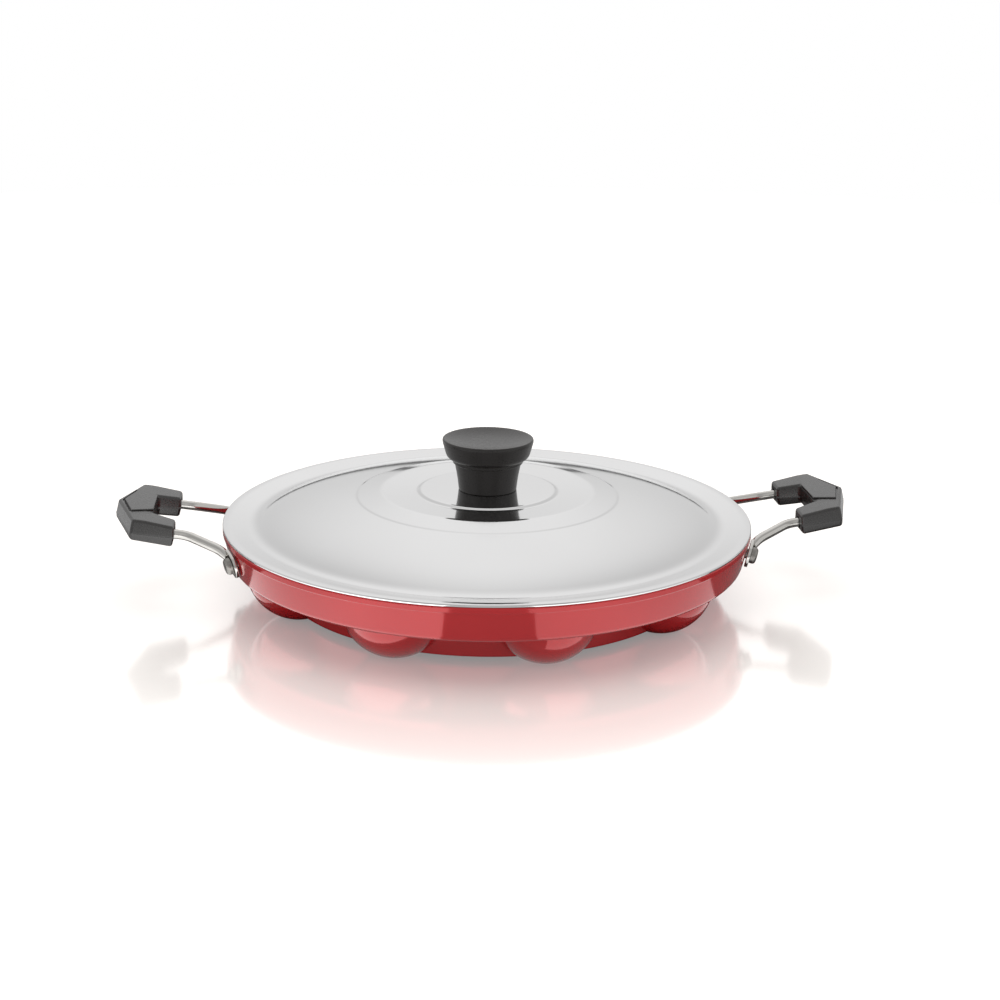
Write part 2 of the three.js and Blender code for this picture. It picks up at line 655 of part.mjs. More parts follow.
// The left handle is the right one turned half round.
const SIDES = [{ side: 'right', turn: 0 }, { side: 'left', turn: 180 }];
for (const { side, turn } of SIDES) {
  const place = (body) => body.rotate([0, 0, turn]);
  addPart(`${side}_handle_wire`, place(handleWire()), BRIGHT_WIRE);
  addPart(`${side}_grip_upper`, place(gripUpper()), BLACK_BAKELITE);
  addPart(`${side}_grip_lower`, place(gripLower()), BLACK_BAKELITE);
  SCREW_SIDES.forEach((y, i) => {
    addPart(`${side}_grip_screw_${i + 1}`, place(gripScrew(y)), ZINC_STEEL);
  });
  [rivetAngle, -rivetAngle].forEach((angle, i) => {
    addPart(`${side}_rivet_${i + 1}`, place(rivet(angle)), RIVET_ALUMINIUM);
  });
}

export default group;
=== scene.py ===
"""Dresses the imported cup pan: red casting, stepped steel lid, black knob and wire handles, in a studio.

Sizes are in millimetres, as on a drawing, and become metres where a mesh is made.
"""

import logging
import math
from dataclasses import dataclass, field
from enum import Enum
from itertools import pairwise
from typing import Callable, Sequence

import bpy
from mathutils import Matrix, Quaternion, Vector


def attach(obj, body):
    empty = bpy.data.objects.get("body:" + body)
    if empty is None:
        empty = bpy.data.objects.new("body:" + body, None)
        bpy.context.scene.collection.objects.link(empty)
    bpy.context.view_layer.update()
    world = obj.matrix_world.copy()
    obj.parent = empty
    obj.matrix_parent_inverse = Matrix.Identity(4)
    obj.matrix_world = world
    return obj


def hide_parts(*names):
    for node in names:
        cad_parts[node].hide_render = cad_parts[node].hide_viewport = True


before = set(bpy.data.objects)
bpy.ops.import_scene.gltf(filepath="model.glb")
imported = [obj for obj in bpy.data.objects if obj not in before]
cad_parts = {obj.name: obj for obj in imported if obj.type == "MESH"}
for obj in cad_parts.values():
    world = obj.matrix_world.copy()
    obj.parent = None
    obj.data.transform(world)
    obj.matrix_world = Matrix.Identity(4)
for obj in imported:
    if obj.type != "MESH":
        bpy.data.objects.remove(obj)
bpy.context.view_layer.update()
LOG = logging.getLogger("cup_pan")
MM = 0.001
# Points nearer than this are one point.
MERGE = MM / 500
# A softened corner is drawn in spans of about this length, within these counts.
SPAN = 1.2
FEWEST_SPANS = 4
MOST_SPANS = 36
# Heights this near, in millimetres, are level.
LEVEL = 0.01
HOLE_FACETS = 32

Point = tuple[float, float]
Corner = tuple[float, float, float]


class Body(Enum):
    """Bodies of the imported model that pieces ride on."""

    PAN = "pan"
    LID = "lid_set"


class Slot(Enum):
    """Names of the material slots."""

    RED = "red_enamel"
    STEEL = "polished_steel"
    BLACK = "black_bakelite"
    WIRE = "bright_wire"
    RIVET = "rivet_aluminium"
    ZINC = "zinc_steel"


class Joining(Enum):
    """Ways to combine two solids."""

    ADD = "UNION"
    CARVE = "DIFFERENCE"


# Drawing


def bezier(start: Vector, pull: Vector, end: Vector, steps: int) -> list[Vector]:
    """Samples a curve from start to end that leans towards a third point.

    Args:
        start: first point.
        pull: point that the curve leans towards.
        end: last point.
        steps: number of spans.

    Returns:
        The points along the curve, both ends included.
    """
    shares = [i / steps for i in range(steps + 1)]
    return [(1 - s) ** 2 * start + 2 * s * (1 - s) * pull + s * s * end for s in shares]


def rounded(corners: Sequence[Corner], closed: bool = False) -> list[Point]:
    """Softens the corners of an outline.

    Args:
        corners: (x, y, ease) of each corner; ease is how far before it its curve starts.
        closed: whether the last corner joins the first.

    Returns:
        The points of the softened outline.
    """
    places = [Vector((x, y)) for x, y, _ in corners]
    count = len(corners)

    def reach(here: int, there: int) -> float:
        """Finds how much of the way to a neighbour the curve at a corner takes.

        Args:
            here: index of the corner.
            there: index of the neighbour.

        Returns:
            The length taken.
        """
        length = (places[there] - places[here]).length
        other = corners[there][2]
        taken = 0.0 if math.isinf(other) else min(other, length / 2)
        return min(corners[here][2], length - taken)

    line: list[Point] = []
    for i, place in enumerate(places):
        if corners[i][2] == 0 or (not closed and i in (0, count - 1)):
            line.append((place.x, place.y))
            continue
        last, following = i - 1, (i + 1) % count
        back, ahead = reach(i, last % count), reach(i, following)
        start = place + (places[last] - place).normalized() * back
        end = place + (places[following] - place).normalized() * ahead
        steps = max(FEWEST_SPANS, min(MOST_SPANS, round((back + ahead) / SPAN)))
        line.extend((p.x, p.y) for p in bezier(start, place, end, steps))
    return line


def arc(centre: Point, size: float, start: float, end: float, steps: int) -> list[Point]:
    """Samples an arc.

    Args:
        centre: its middle.
        size: its radius.
        start: first angle in degrees.
        end: last angle in degrees.
        steps: number of spans.

    Returns:
        The points along the arc.
    """
    angles = [math.radians(start + (end - start) * i / steps) for i in range(steps + 1)]
    return [(centre[0] + size * math.cos(a), centre[1] + size * math.sin(a)) for a in angles]


# Modelling


def only(piece: bpy.types.Object) -> None:
    """Selects one object alone and makes it active.

    Args:
        piece: the object.
    """
    bpy.ops.object.select_all(action="DESELECT")
    piece.select_set(True)
    bpy.context.view_layer.objects.active = piece


def draw_line(name: str, points: Sequence[Vector], closed: bool = False) -> bpy.types.Object:
    """Draws a chain of edges point by point.

    Args:
        name: name of the new piece.
        points: places in millimetres.
        closed: whether the chain returns to its first point.

    Returns:
        The new object, in edit mode with all selected.
    """
    bpy.ops.object.select_all(action="DESELECT")
    bpy.ops.mesh.primitive_plane_add(size=MM)
    piece = bpy.context.object
    piece.name = name
    piece.data.name = name
    bpy.ops.object.mode_set(mode="EDIT")
    bpy.ops.mesh.select_all(action="SELECT")
    bpy.ops.mesh.merge(type="CENTER")
    bpy.ops.transform.translate(value=points[0] * MM)
    route = [*points, points[0]] if closed else points
    for here, there in pairwise(route):
        bpy.ops.mesh.extrude_vertices_move(TRANSFORM_OT_translate={"value": (there - here) * MM})
    bpy.ops.mesh.select_all(action="SELECT")
    bpy.ops.mesh.remove_doubles(threshold=MERGE)
    bpy.ops.mesh.select_all(action="SELECT")
    return piece


def close_up() -> None:
    """Merges the doubled points of the mesh in edit mode, turns its faces outwards and leaves edit mode."""
    bpy.ops.mesh.select_all(action="SELECT")
    bpy.ops.mesh.remove_doubles(threshold=MERGE)
    bpy.ops.mesh.normals_make_consistent(inside=False)
    bpy.ops.object.mode_set(mode="OBJECT")


def turn(name: str, outline: Sequence[Point], steps: int, closed: bool = False) -> bpy.types.Object:
    """Turns an outline about the Z axis into a solid.

    Args:
        name: name of the new piece.
        outline: (radius, height) points.
        steps: facets round a full turn.
        closed: whether the outline is a closed ring section.

    Returns:
        The solid, in object mode.
    """
    piece = draw_line(name, [Vector((r, 0, z)) for r, z in outline], closed)
    bpy.ops.mesh.spin(steps=steps, angle=2 * math.pi, center=(0, 0, 0), axis=(0, 0, 1))
    close_up()
    return piece


def plate(name: str, plan: Sequence[Point], bottom: float, thickness: float) -> bpy.types.Object:
    """Raises a flat plan into a plate.

    Args:
        name: name of the new piece.
        plan: (x, y) points of its outline.
        bottom: height of its lower face.
        thickness: how far it is raised.

    Returns:
        The plate, in object mode.
    """
    piece = draw_line(name, [Vector((x, y, bottom)) for x, y in plan], closed=True)
    bpy.ops.mesh.edge_face_add()
    bpy.ops.mesh.extrude_region_move(TRANSFORM_OT_translate={"value": (0, 0, thickness * MM)})
    close_up()
    return piece


def bevel_edges(piece: bpy.types.Object, wanted: Callable[[Vector, Vector], bool], width: float,
                segments: int) -> None:
    """Rounds the sharp edges of a piece that a test picks.

    Args:
        piece: what is rounded, in object mode.
        wanted: test of an edge's two ends, in millimetres.
        width: width of the rounding.
        segments: facets across it.
    """
    mesh = piece.data
    places = [v.co / MM for v in mesh.vertices]
    for group in (mesh.vertices, mesh.edges, mesh.polygons):
        group.foreach_set("select", [False] * len(group))
    for edge in mesh.edges:
        edge.select = wanted(places[edge.vertices[0]], places[edge.vertices[1]])
    only(piece)
    bpy.context.tool_settings.mesh_select_mode = (False, True, False)
    bpy.ops.object.mode_set(mode="EDIT")
    bpy.ops.mesh.bevel(offset=width * MM, segments=segments, affect="EDGES", clamp_overlap=True)
    bpy.ops.object.mode_set(mode="OBJECT")
    bpy.context.tool_settings.mesh_select_mode = (True, False, False)


def combine(piece: bpy.types.Object, tool: bpy.types.Object, how: Joining) -> None:
    """Adds a second solid to a piece or carves it out, and removes that solid.

    Args:
        piece: what is changed.
        tool: the second solid.
        how: whether it is added or carved out.
    """
    only(piece)
    bpy.ops.object.modifier_add(type="BOOLEAN")
    step = piece.modifiers[-1]
    step.operation = how.value
    step.object = tool
    step.solver = "MANIFOLD"
    step.material_mode = "INDEX"
    bpy.ops.object.modifier_apply(modifier=step.name)
    bpy.data.objects.remove(tool)


def clear_slivers(piece: bpy.types.Object) -> None:
    """Takes out the faces and edges of no size that cuts leave.

    Args:
        piece: what is cleared.
    """
    only(piece)
    bpy.ops.object.mode_set(mode="EDIT")
    bpy.ops.mesh.select_all(action="SELECT")
    bpy.ops.mesh.dissolve_degenerate(threshold=MERGE)
    bpy.ops.object.mode_set(mode="OBJECT")


def settle(piece: bpy.types.Object, place: Matrix) -> None:
    """Moves a piece, drawn about the origin, to its place and fixes it in its mesh.

    Args:
        piece: what is moved.
        place: its place, in metres.
    """
    only(piece)
    piece.matrix_world = place
    bpy.ops.object.transform_apply(location=True, rotation=True, scale=True)


def duplicate(piece: bpy.types.Object, name: str) -> bpy.types.Object:
    """Copies a piece with a mesh of its own.

    Args:
        piece: what is copied.
        name: name of the copy.

    Returns:
        The copy.
    """
    only(piece)
    bpy.ops.object.duplicate(linked=False)
    copy = bpy.context.object
    copy.name = name
    copy.data.name = name
    return copy


def smooth(piece: bpy.types.Object, degrees: float = 32) -> None:
    """Shades a piece smooth between its sharp edges, with flat faces kept flat.

    Args:
        piece: the finished mesh.
        degrees: edges that turn by more than this stay sharp.
    """
    clear_slivers(piece)
    bpy.ops.object.shade_smooth_by_angle(angle=math.radians(degrees))
    bpy.ops.object.modifier_add(type="WEIGHTED_NORMAL")
    piece.modifiers[-1].keep_sharp = True
    bpy.ops.object.modifier_apply(modifier=piece.modifiers[-1].name)


def dress(piece: bpy.types.Object, *materials: bpy.types.Material) -> None:
    """Gives a piece its materials, one slot each, and leaves its faces in their slots.

    Args:
        piece: what is dressed.
        materials: its materials in the order of their slots.
    """
    slots = piece.data.materials
    for i, material in enumerate(materials):
        if i < len(slots):
            slots[i] = material
        else:
            slots.append(material)


def drill(piece: bpy.types.Object, radius: float, depth: float, place: Matrix,
          coats: Sequence[bpy.types.Material] = ()) -> None:
    """Carves a round hole.

    Args:
        piece: what is drilled.
        radius: the hole's radius.
        depth: its length, half of it on each side of its place.
        place: its place, in metres, with its axis along Z.
        coats: materials of the piece, which the hole's slots have to match.
    """
    bpy.ops.object.select_all(action="DESELECT")
    bpy.ops.mesh.primitive_cylinder_add(vertices=HOLE_FACETS, radius=radius * MM, depth=depth * MM)
    hole = bpy.context.object
    dress(hole, *coats)
    settle(hole, place)
    combine(piece, hole, Joining.CARVE)


def hand_over(piece: bpy.types.Object, body: Body, node: str) -> None:
    """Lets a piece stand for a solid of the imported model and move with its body.

    Args:
        piece: the finished piece.
        body: what it rides on.
        node: the solid that it stands for.
    """
    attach(piece, body.value)
    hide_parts(node)
    LOG.info("%s: %d faces for %s", piece.name, len(piece.data.polygons), node)


# Finishes


def linear(code: str) -> tuple[float, float, float, float]:
    """Turns an sRGB hex colour to linear light.

    Args:
        code: six hex digits.

    Returns:
        Linear red, green, blue and an alpha of one.
    """
    shares = [int(code[i:i + 2], 16) / 255 for i in (0, 2, 4)]
    light = [s / 12.92 if s <= 0.04045 else ((s + 0.055) / 1.055) ** 2.4 for s in shares]
    return (light[0], light[1], light[2], 1.0)


# Most of a noise pattern lies between these values.
NOISE_LOW = 0.3
NOISE_HIGH = 0.7
# Settings of the nodes that are used most.
SMOOTH = {"interpolation_type": "SMOOTHSTEP"}
COLOUR = {"data_type": "RGBA"}


def add_node(tree: bpy.types.NodeTree, kind: str, settings: dict[str, object],
             inputs: dict[str | int, object]) -> bpy.types.Node:
    """Adds a shader node.

    Args:
        tree: the tree that it joins.
        kind: its type.
        settings: its own properties.
        inputs: its sockets by name or place; an output is linked, anything else is set.

    Returns:
        The node.
    """
    node = tree.nodes.new(kind)
    for name, value in settings.items():
        setattr(node, name, value)
    for key, value in inputs.items():
        if isinstance(value, bpy.types.NodeSocket):
            tree.links.new(value, node.inputs[key])
        else:
            node.inputs[key].default_value = value
    return node


def per(size: float) -> float:
    """Scale of a pattern whose grains are a size in millimetres apart."""
    return 1 / (size * MM)


@dataclass(frozen=True)
class Finish:
    """A surface: its colours and gloss, and the sizes of its clouds, grain and relief in millimetres."""

    name: str
    base: str
    shade: str
    metallic: float
    gloss: tuple[float, float]
    cloud: float
    grain: float
    relief: float
    extras: dict[str, object] = field(default_factory=dict)

    def grain_vector(self, tree: bpy.types.NodeTree, place: bpy.types.NodeSocket) -> bpy.types.NodeSocket:
        """Coordinates of the grain: plain ones, unless a finish stretches them."""
        return place

    def flecks(self, tree: bpy.types.NodeTree, place: bpy.types.NodeSocket,
               colour: bpy.types.NodeSocket) -> bpy.types.NodeSocket:
        """Colour with flecks laid over it: none, unless a finish has them."""
        return colour

    def make(self) -> bpy.types.Material:
        """Builds the material: clouded colour, varying gloss and a fine relief.

        Returns:
            The material.
        """
        material = bpy.data.materials.new(self.name)
        material.use_nodes = True
        tree = material.node_tree
        shader = tree.nodes["Principled BSDF"]
        place = add_node(tree, "ShaderNodeTexCoord", {}, {}).outputs["Object"]
        cloud = add_node(tree, "ShaderNodeTexNoise", {},
                         {"Vector": place, "Scale": per(self.cloud), "Detail": 3.0})
        along = self.grain_vector(tree, place)
        grain = add_node(tree, "ShaderNodeTexNoise", {},
                         {"Vector": along, "Scale": per(self.grain), "Detail": 2.0})
        tint = add_node(tree, "ShaderNodeMix", COLOUR,
                        {"Factor": cloud.outputs["Fac"], 6: linear(self.base), 7: linear(self.shade)})
        gloss = add_node(tree, "ShaderNodeMapRange", {},
                         {"Value": grain.outputs["Fac"], "From Min": NOISE_LOW, "From Max": NOISE_HIGH,
                          "To Min": self.gloss[0], "To Max": self.gloss[1]})
        relief = add_node(tree, "ShaderNodeBump", {},
                          {"Height": grain.outputs["Fac"], "Strength": 1.0, "Distance": self.relief * MM})
        colour = self.flecks(tree, place, tint.outputs[2])
        links = tree.links
        links.new(colour, shader.inputs["Base Color"])
        links.new(gloss.outputs["Result"], shader.inputs["Roughness"])
        links.new(relief.outputs["Normal"], shader.inputs["Normal"])
        shader.inputs["Metallic"].default_value = self.metallic
        for socket, value in self.extras.items():
            shader.inputs[socket].default_value = value
        return material


@dataclass(frozen=True)
class SpunFinish(Finish):
    """A metal polished on a spindle: its grain runs in rings round Z."""

    def grain_vector(self, tree: bpy.types.NodeTree, place: bpy.types.NodeSocket) -> bpy.types.NodeSocket:
        """Lets the grain run in rings.

        Args:
            tree: the material's nodes.
            place: coordinates on the piece.

        Returns:
            The distance from the Z axis.
        """
        flat = add_node(tree, "ShaderNodeVectorMath", {"operation": "MULTIPLY"}, {0: place, 1: (1, 1, 0)})
        span = add_node(tree, "ShaderNodeVectorMath", {"operation": "LENGTH"}, {0: flat.outputs["Vector"]})
        return add_node(tree, "ShaderNodeCombineXYZ", {}, {"X": span.outputs["Value"]}).outputs["Vector"]


@dataclass(frozen=True)
class FleckedFinish(Finish):
    """A coat with small pale flecks sprayed into it."""

    fleck: str = "8A8784"
    spacing: float = 3.2
    core: float = 0.1
    reach: float = 0.16
    cover: float = 0.7

    def flecks(self, tree: bpy.types.NodeTree, place: bpy.types.NodeSocket,
               colour: bpy.types.NodeSocket) -> bpy.types.NodeSocket:
        """Lays a pale fleck in each cell of a scattered pattern.

        Args:
            tree: the material's nodes.
            place: coordinates on the piece.
            colour: the coat's own colour.

        Returns:
            The colour with its flecks.
        """
        cells = add_node(tree, "ShaderNodeTexVoronoi", {}, {"Vector": place, "Scale": per(self.spacing)})
        dots = add_node(tree, "ShaderNodeMapRange", {},
                        {"Value": cells.outputs["Distance"], "From Min": self.core, "From Max": self.reach,
                         "To Min": self.cover, "To Max": 0.0})
        mixed = add_node(tree, "ShaderNodeMix", COLOUR,
                         {"Factor": dots.outputs["Result"], 6: colour, 7: linear(self.fleck)})
        return mixed.outputs[2]


# Metallic lacquer sprayed on cast aluminium: deep red with a wet gloss and a faint orange peel.
RED_LACQUER = Finish(
    "red_lacquer_sprayed", base="C4292D", shade="B92328", metallic=0.2, gloss=(0.1, 0.15), cloud=24,
    grain=1.6, relief=0.01,
    extras={"Coat Weight": 0.4, "Coat Roughness": 0.04, "IOR": 1.5, "Specular IOR Level": 0.3})
# Nonstick coat sprayed and baked on the deck and in the cups: dull black with pale flecks.
NONSTICK = FleckedFinish(
    "nonstick_coat_baked", base="29282A", shade="222123", metallic=0.0, gloss=(0.36, 0.5), cloud=12,
    grain=0.9, relief=0.02, extras={"IOR": 1.4})
# Stainless sheet, pressed and mirror polished on a spindle: bright, with hair-fine rings. The rings
# are drawn about 1 mm apart, coarser than real ones, so that they show.
POLISHED_STEEL = SpunFinish(
    "stainless_mirror_polished", base="E0E0E0", shade="DAD9D9", metallic=1.0, gloss=(0.07, 0.11), cloud=60,
    grain=1.0, relief=0.0006)
# Phenolic resin moulded in a steel tool: near black, half matt, with a fine even skin. Its base is a little
# lighter than the same resin on the grips, and that difference is painted light to make up for the dim
# surround in front of the knob.
PHENOLIC = Finish(
    "phenolic_resin_moulded", base="242221", shade="2C2928", metallic=0.0, gloss=(0.26, 0.36), cloud=9,
    grain=0.8, relief=0.01, extras={"IOR": 1.55, "Specular IOR Level": 0.34})
# The same resin buffed for the grips: near black, with a brighter sheen where light grazes it.
BUFFED_RESIN = Finish(
    "phenolic_resin_buffed", base="1C1A19", shade="252221", metallic=0.0, gloss=(0.24, 0.34), cloud=9,
    grain=0.8, relief=0.008, extras={"IOR": 1.55, "Specular IOR Level": 0.75})
# Steel wire, drawn, bent and nickel plated: bright with soft streaks.
WIRE = Finish(
    "steel_wire_nickel_plated", base="D8D6D2", shade="C6C3BE", metallic=1.0, gloss=(0.1, 0.18), cloud=7,
    grain=1.2, relief=0.004)
# Aluminium rivets, headed cold: grey and slightly dented.
RIVET = Finish(
    "aluminium_rivet_headed", base="A5A29D", shade="8A8783", metallic=1.0, gloss=(0.32, 0.48), cloud=4,
    grain=1.5, relief=0.04)
# Brass sleeve, turned: warm yellow with fine rings.
BRASS = SpunFinish(
    "brass_turned", base="B08D4A", shade="9C7B3E", metallic=1.0, gloss=(0.25, 0.4), cloud=5, grain=0.4,
    relief=0.003)
# Steel screws and washer, zinc plated: bluish grey and slightly mottled.
ZINC = Finish(
    "steel_zinc_plated", base="A2A5A8", shade="8E8F8C", metallic=1.0, gloss=(0.28, 0.42), cloud=3,
    grain=0.7, relief=0.006)


# Pieces


@dataclass
class PanCasting:
    """The casting: battered wall, rim band, deck, twelve cups and the ring rib, coated out and in."""

    coats: tuple[bpy.types.Material, bpy.types.Material]
    radius: float = 115
    height: float = 32.5
    batter: float = 3
    thickness: float = 3
    underside: float = 17
    band_height: float = 2.5
    band_step: float = 0.3
    foot_round: float = 2.5
    outer_cups: int = 9
    inner_cups: int = 3
    cup_ring: float = 87.5
    inner_ring: float = 31
    inner_turn: float = 60
    cup_radius: float = 19.5
    cup_wall: float = 2.7
    foot_cut: float = 0.5
    lip: float = 1.5
    lobe_blend: float = 1.0
    rib_thickness: float = 3
    rib_clearance: float = 2.2
    rivet_hole: float = 2.5
    band_round: float = 0.25
    rim_round: float = 0.5
    deck_round: float = 3
    rib_round: float = 0.8
    lobe_flare: float = 0.3
    coat_reach: float = 0.05
    facets: int = 192
    cup_facets: int = 64

    @property
    def deck(self) -> float:
        """Height of the deck's upper face."""
        return self.underside + self.thickness

    @property
    def foot_radius(self) -> float:
        """Radius of the wall at its foot."""
        return self.radius - self.band_step - self.batter

    @property
    def lean(self) -> float:
        """Angle of the wall's batter."""
        return math.atan(self.batter / (self.height - self.band_height - self.underside))

    @property
    def cup_centre(self) -> float:
        """Height of the cups' centres."""
        return self.cup_radius + self.cup_wall - self.foot_cut

    def wall(self, height: float) -> float:
        """Outer radius of the wall at a height."""
        return self.foot_radius + (height - self.underside) * math.tan(self.lean)

    def shell(self) -> bpy.types.Object:
        """Turns the wall and deck.

        Returns:
            The shell, its inside faces in the second slot.
        """
        inside = self.thickness / math.cos(self.lean)
        band = self.height - self.band_height
        piece = turn("pan_casting", rounded([
            (0, self.underside, 0),
            (self.foot_radius, self.underside, self.foot_round),
            (self.wall(band), band, self.band_round),
            (self.radius, band + self.band_step / 2, self.band_round),
            (self.radius, self.height, self.rim_round),
            (self.wall(self.height) - inside, self.height, self.rim_round),
            (self.wall(self.deck) - inside, self.deck, self.deck_round),
            (0, self.deck, 0),
        ]), self.facets)
        dress(piece, *self.coats)
        for face in piece.data.polygons:
            spot = face.center / MM
            inner = self.wall(spot.z) - inside + self.coat_reach
            if spot.z > self.underside + self.thickness / 3 and math.hypot(spot.x, spot.y) < inner:
                face.material_index = 1
        return piece

    def rib(self) -> bpy.types.Object:
        """Turns the ring that ties the outer cups together under the deck.

        Returns:
            The ring, in both coats' slots.
        """
        near, far = (self.cup_ring + sign * self.rib_thickness / 2 for sign in (-1, 1))
        top = self.underside + self.thickness / 2
        piece = turn("rib", rounded([
            (near, self.rib_clearance, self.rib_round),
            (far, self.rib_clearance, self.rib_round),
            (far, top, 0),
            (near, top, 0),
        ], closed=True), self.facets, closed=True)
        dress(piece, *self.coats)
        return piece

    def lobe(self) -> bpy.types.Object:
        """Turns one cup's outside: a ball cut flat at the ground, flared into the deck.

        Returns:
            The lobe, drawn about the Z axis.
        """
        size = self.cup_radius + self.cup_wall
        flat = -math.degrees(math.asin(self.cup_centre / size))
        level = self.underside - self.lobe_blend
        top = -math.degrees(math.asin((self.cup_centre - level) / size))
        side = arc((0, self.cup_centre), size, flat, top, steps=18)
        edge = side[-1][0] + self.lobe_flare
        flare = bezier(Vector(side[-1]), Vector((edge, self.underside)),
                       Vector((edge + self.lobe_blend, self.underside)), steps=5)
        cap = self.underside + self.thickness / 2
        line = [(0, 0), *side, *((p.x, p.y) for p in flare[1:]), (flare[-1].x, cap), (0, cap)]
        piece = turn("lobe", line, self.cup_facets)
        dress(piece, *self.coats)
        return piece

    def hollow(self) -> bpy.types.Object:
        """Turns one cup's inside with its rounded lip.

        Returns:
            The hollow, drawn about the Z axis, its faces in the second slot.
        """
        start = self.deck - self.lip
        top = -math.degrees(math.asin((self.cup_centre - start) / self.cup_radius))
        bowl = arc((0, self.cup_centre), self.cup_radius, -90, top, steps=20)
        mouth = bowl[-1][0] + self.lip
        lip = arc((mouth, start), self.lip, 180, 90, steps=6)
        line = [(0, bowl[0][1]), *bowl[1:], *lip[1:], (mouth, self.height), (0, self.height)]
        piece = turn("hollow", line, self.cup_facets)
        dress(piece, *self.coats)
        piece.data.polygons.foreach_set("material_index", [1] * len(piece.data.polygons))
        return piece

    def at_cups(self, first: bpy.types.Object) -> bpy.types.Object:
        """Sets copies of a solid at all cups.

        Args:
            first: the solid, drawn about the Z axis.

        Returns:
            One object that holds all the copies.
        """
        rings = ((self.outer_cups, self.cup_ring, 0.0),
                 (self.inner_cups, self.inner_ring, math.radians(self.inner_turn)))
        copies = []
        for count, radius, start in rings:
            for i in range(count):
                angle = start + 2 * math.pi * i / count
                copy = duplicate(first, f"{first.name}_{len(copies)}")
                out = Vector((math.cos(angle), math.sin(angle), 0))
                settle(copy, Matrix.Translation(out * radius * MM))
                copies.append(copy)
        bpy.data.objects.remove(first)
        only(copies[0])
        for copy in copies:
            copy.select_set(True)
        bpy.ops.object.join()
        return bpy.context.object

    def build(self, rivets: Sequence[Matrix]) -> bpy.types.Object:
        """Builds the casting.

        Args:
            rivets: places of the rivets on the wall.

        Returns:
            The finished casting.
        """
        piece = self.shell()
        combine(piece, self.rib(), Joining.ADD)
        combine(piece, self.at_cups(self.lobe()), Joining.ADD)
        combine(piece, self.at_cups(self.hollow()), Joining.CARVE)
        for place in rivets:
            drill(piece, self.rivet_hole, 4 * self.thickness, place, self.coats)
        smooth(piece)
        return piece


@dataclass
class FormedLid:
    """The lid: one pressed sheet with hem, flange, valley, dome, band, annulus and plateau."""

    metal: bpy.types.Material
    radius: float = 115
    seat: float = 32.5
    sheet: float = 0.9
    hem: float = 1.2
    hem_width: float = 3
    flange: float = 13.6
    valley_drop: float = 2.1
    crest_radius: float = 57
    dome_rise: float = 9.6
    foot_slope: float = 28
    top_slope: float = 8.5
    band_radius: float = 46.5
    band_rise: float = 2.3
    plateau_radius: float = 29.4
    sag: float = 0.7
    step: float = 1
    step_run: float = 1.4
    lip: float = 0.4
    lip_width: float = 1
    hole: float = 2.8
    hem_fold: float = 0.54
    hem_round: float = 0.25
    flange_round: float = 1.2
    valley_round: float = 3.5
    lip_round: float = 0.4
    band_round: float = 1.1
    step_round: float = 0.8
    plateau_round: float = 0.7
    facets: int = 240

    @property
    def edge(self) -> float:
        """Height of the hem's upper face."""
        return self.seat + self.hem

    @property
    def plateau(self) -> float:
        """Height of the flat middle."""
        return self.edge + self.dome_rise + self.band_rise - self.sag + self.step

    def line(self) -> list[Corner]:
        """Lists the corners of the lid's upper line from its flange to its middle.

        Returns:
            The corners, each with its ease.
        """
        valley = (self.radius - self.flange, self.edge - self.valley_drop)
        crest = (self.crest_radius, self.edge + self.dome_rise)
        steep, flat = (math.tan(math.radians(a)) for a in (self.foot_slope, self.top_slope))
        knee = (crest[1] - valley[1] + flat * crest[0] - steep * valley[0]) / (flat - steep)
        annulus = crest[1] + self.band_rise
        half = self.lip_width / 2
        return [
            (self.radius - self.hem_width, self.edge, self.flange_round),
            (*valley, self.valley_round),
            (knee, crest[1] - flat * (knee - crest[0]), math.inf),
            (crest[0] + half, crest[1] - flat * half, self.lip_round),
            (crest[0] - half, crest[1] - flat * half + self.lip, self.lip_round),
            (self.band_radius, annulus, self.band_round),
            (self.plateau_radius + self.step_run, annulus - self.sag, self.step_round),
            (self.plateau_radius, self.plateau, self.plateau_round),
        ]

    def build(self) -> bpy.types.Object:
        """Turns the lid.

        Returns:
            The finished lid.
        """
        top = self.line()
        under = [(r, z - self.sheet, ease) for r, z, ease in reversed(top[1:])]
        outline = rounded([
            (self.hole, self.plateau - self.sheet, 0),
            *under,
            (self.radius - self.hem_width, self.seat, self.hem_round),
            (self.radius, self.seat, self.hem_fold),
            (self.radius, self.edge, self.hem_fold),
            *top,
            (self.hole, self.plateau, 0),
        ], closed=True)
        piece = turn("lid_sheet", outline, self.facets, closed=True)
        smooth(piece)
        dress(piece, self.metal)
        return piece


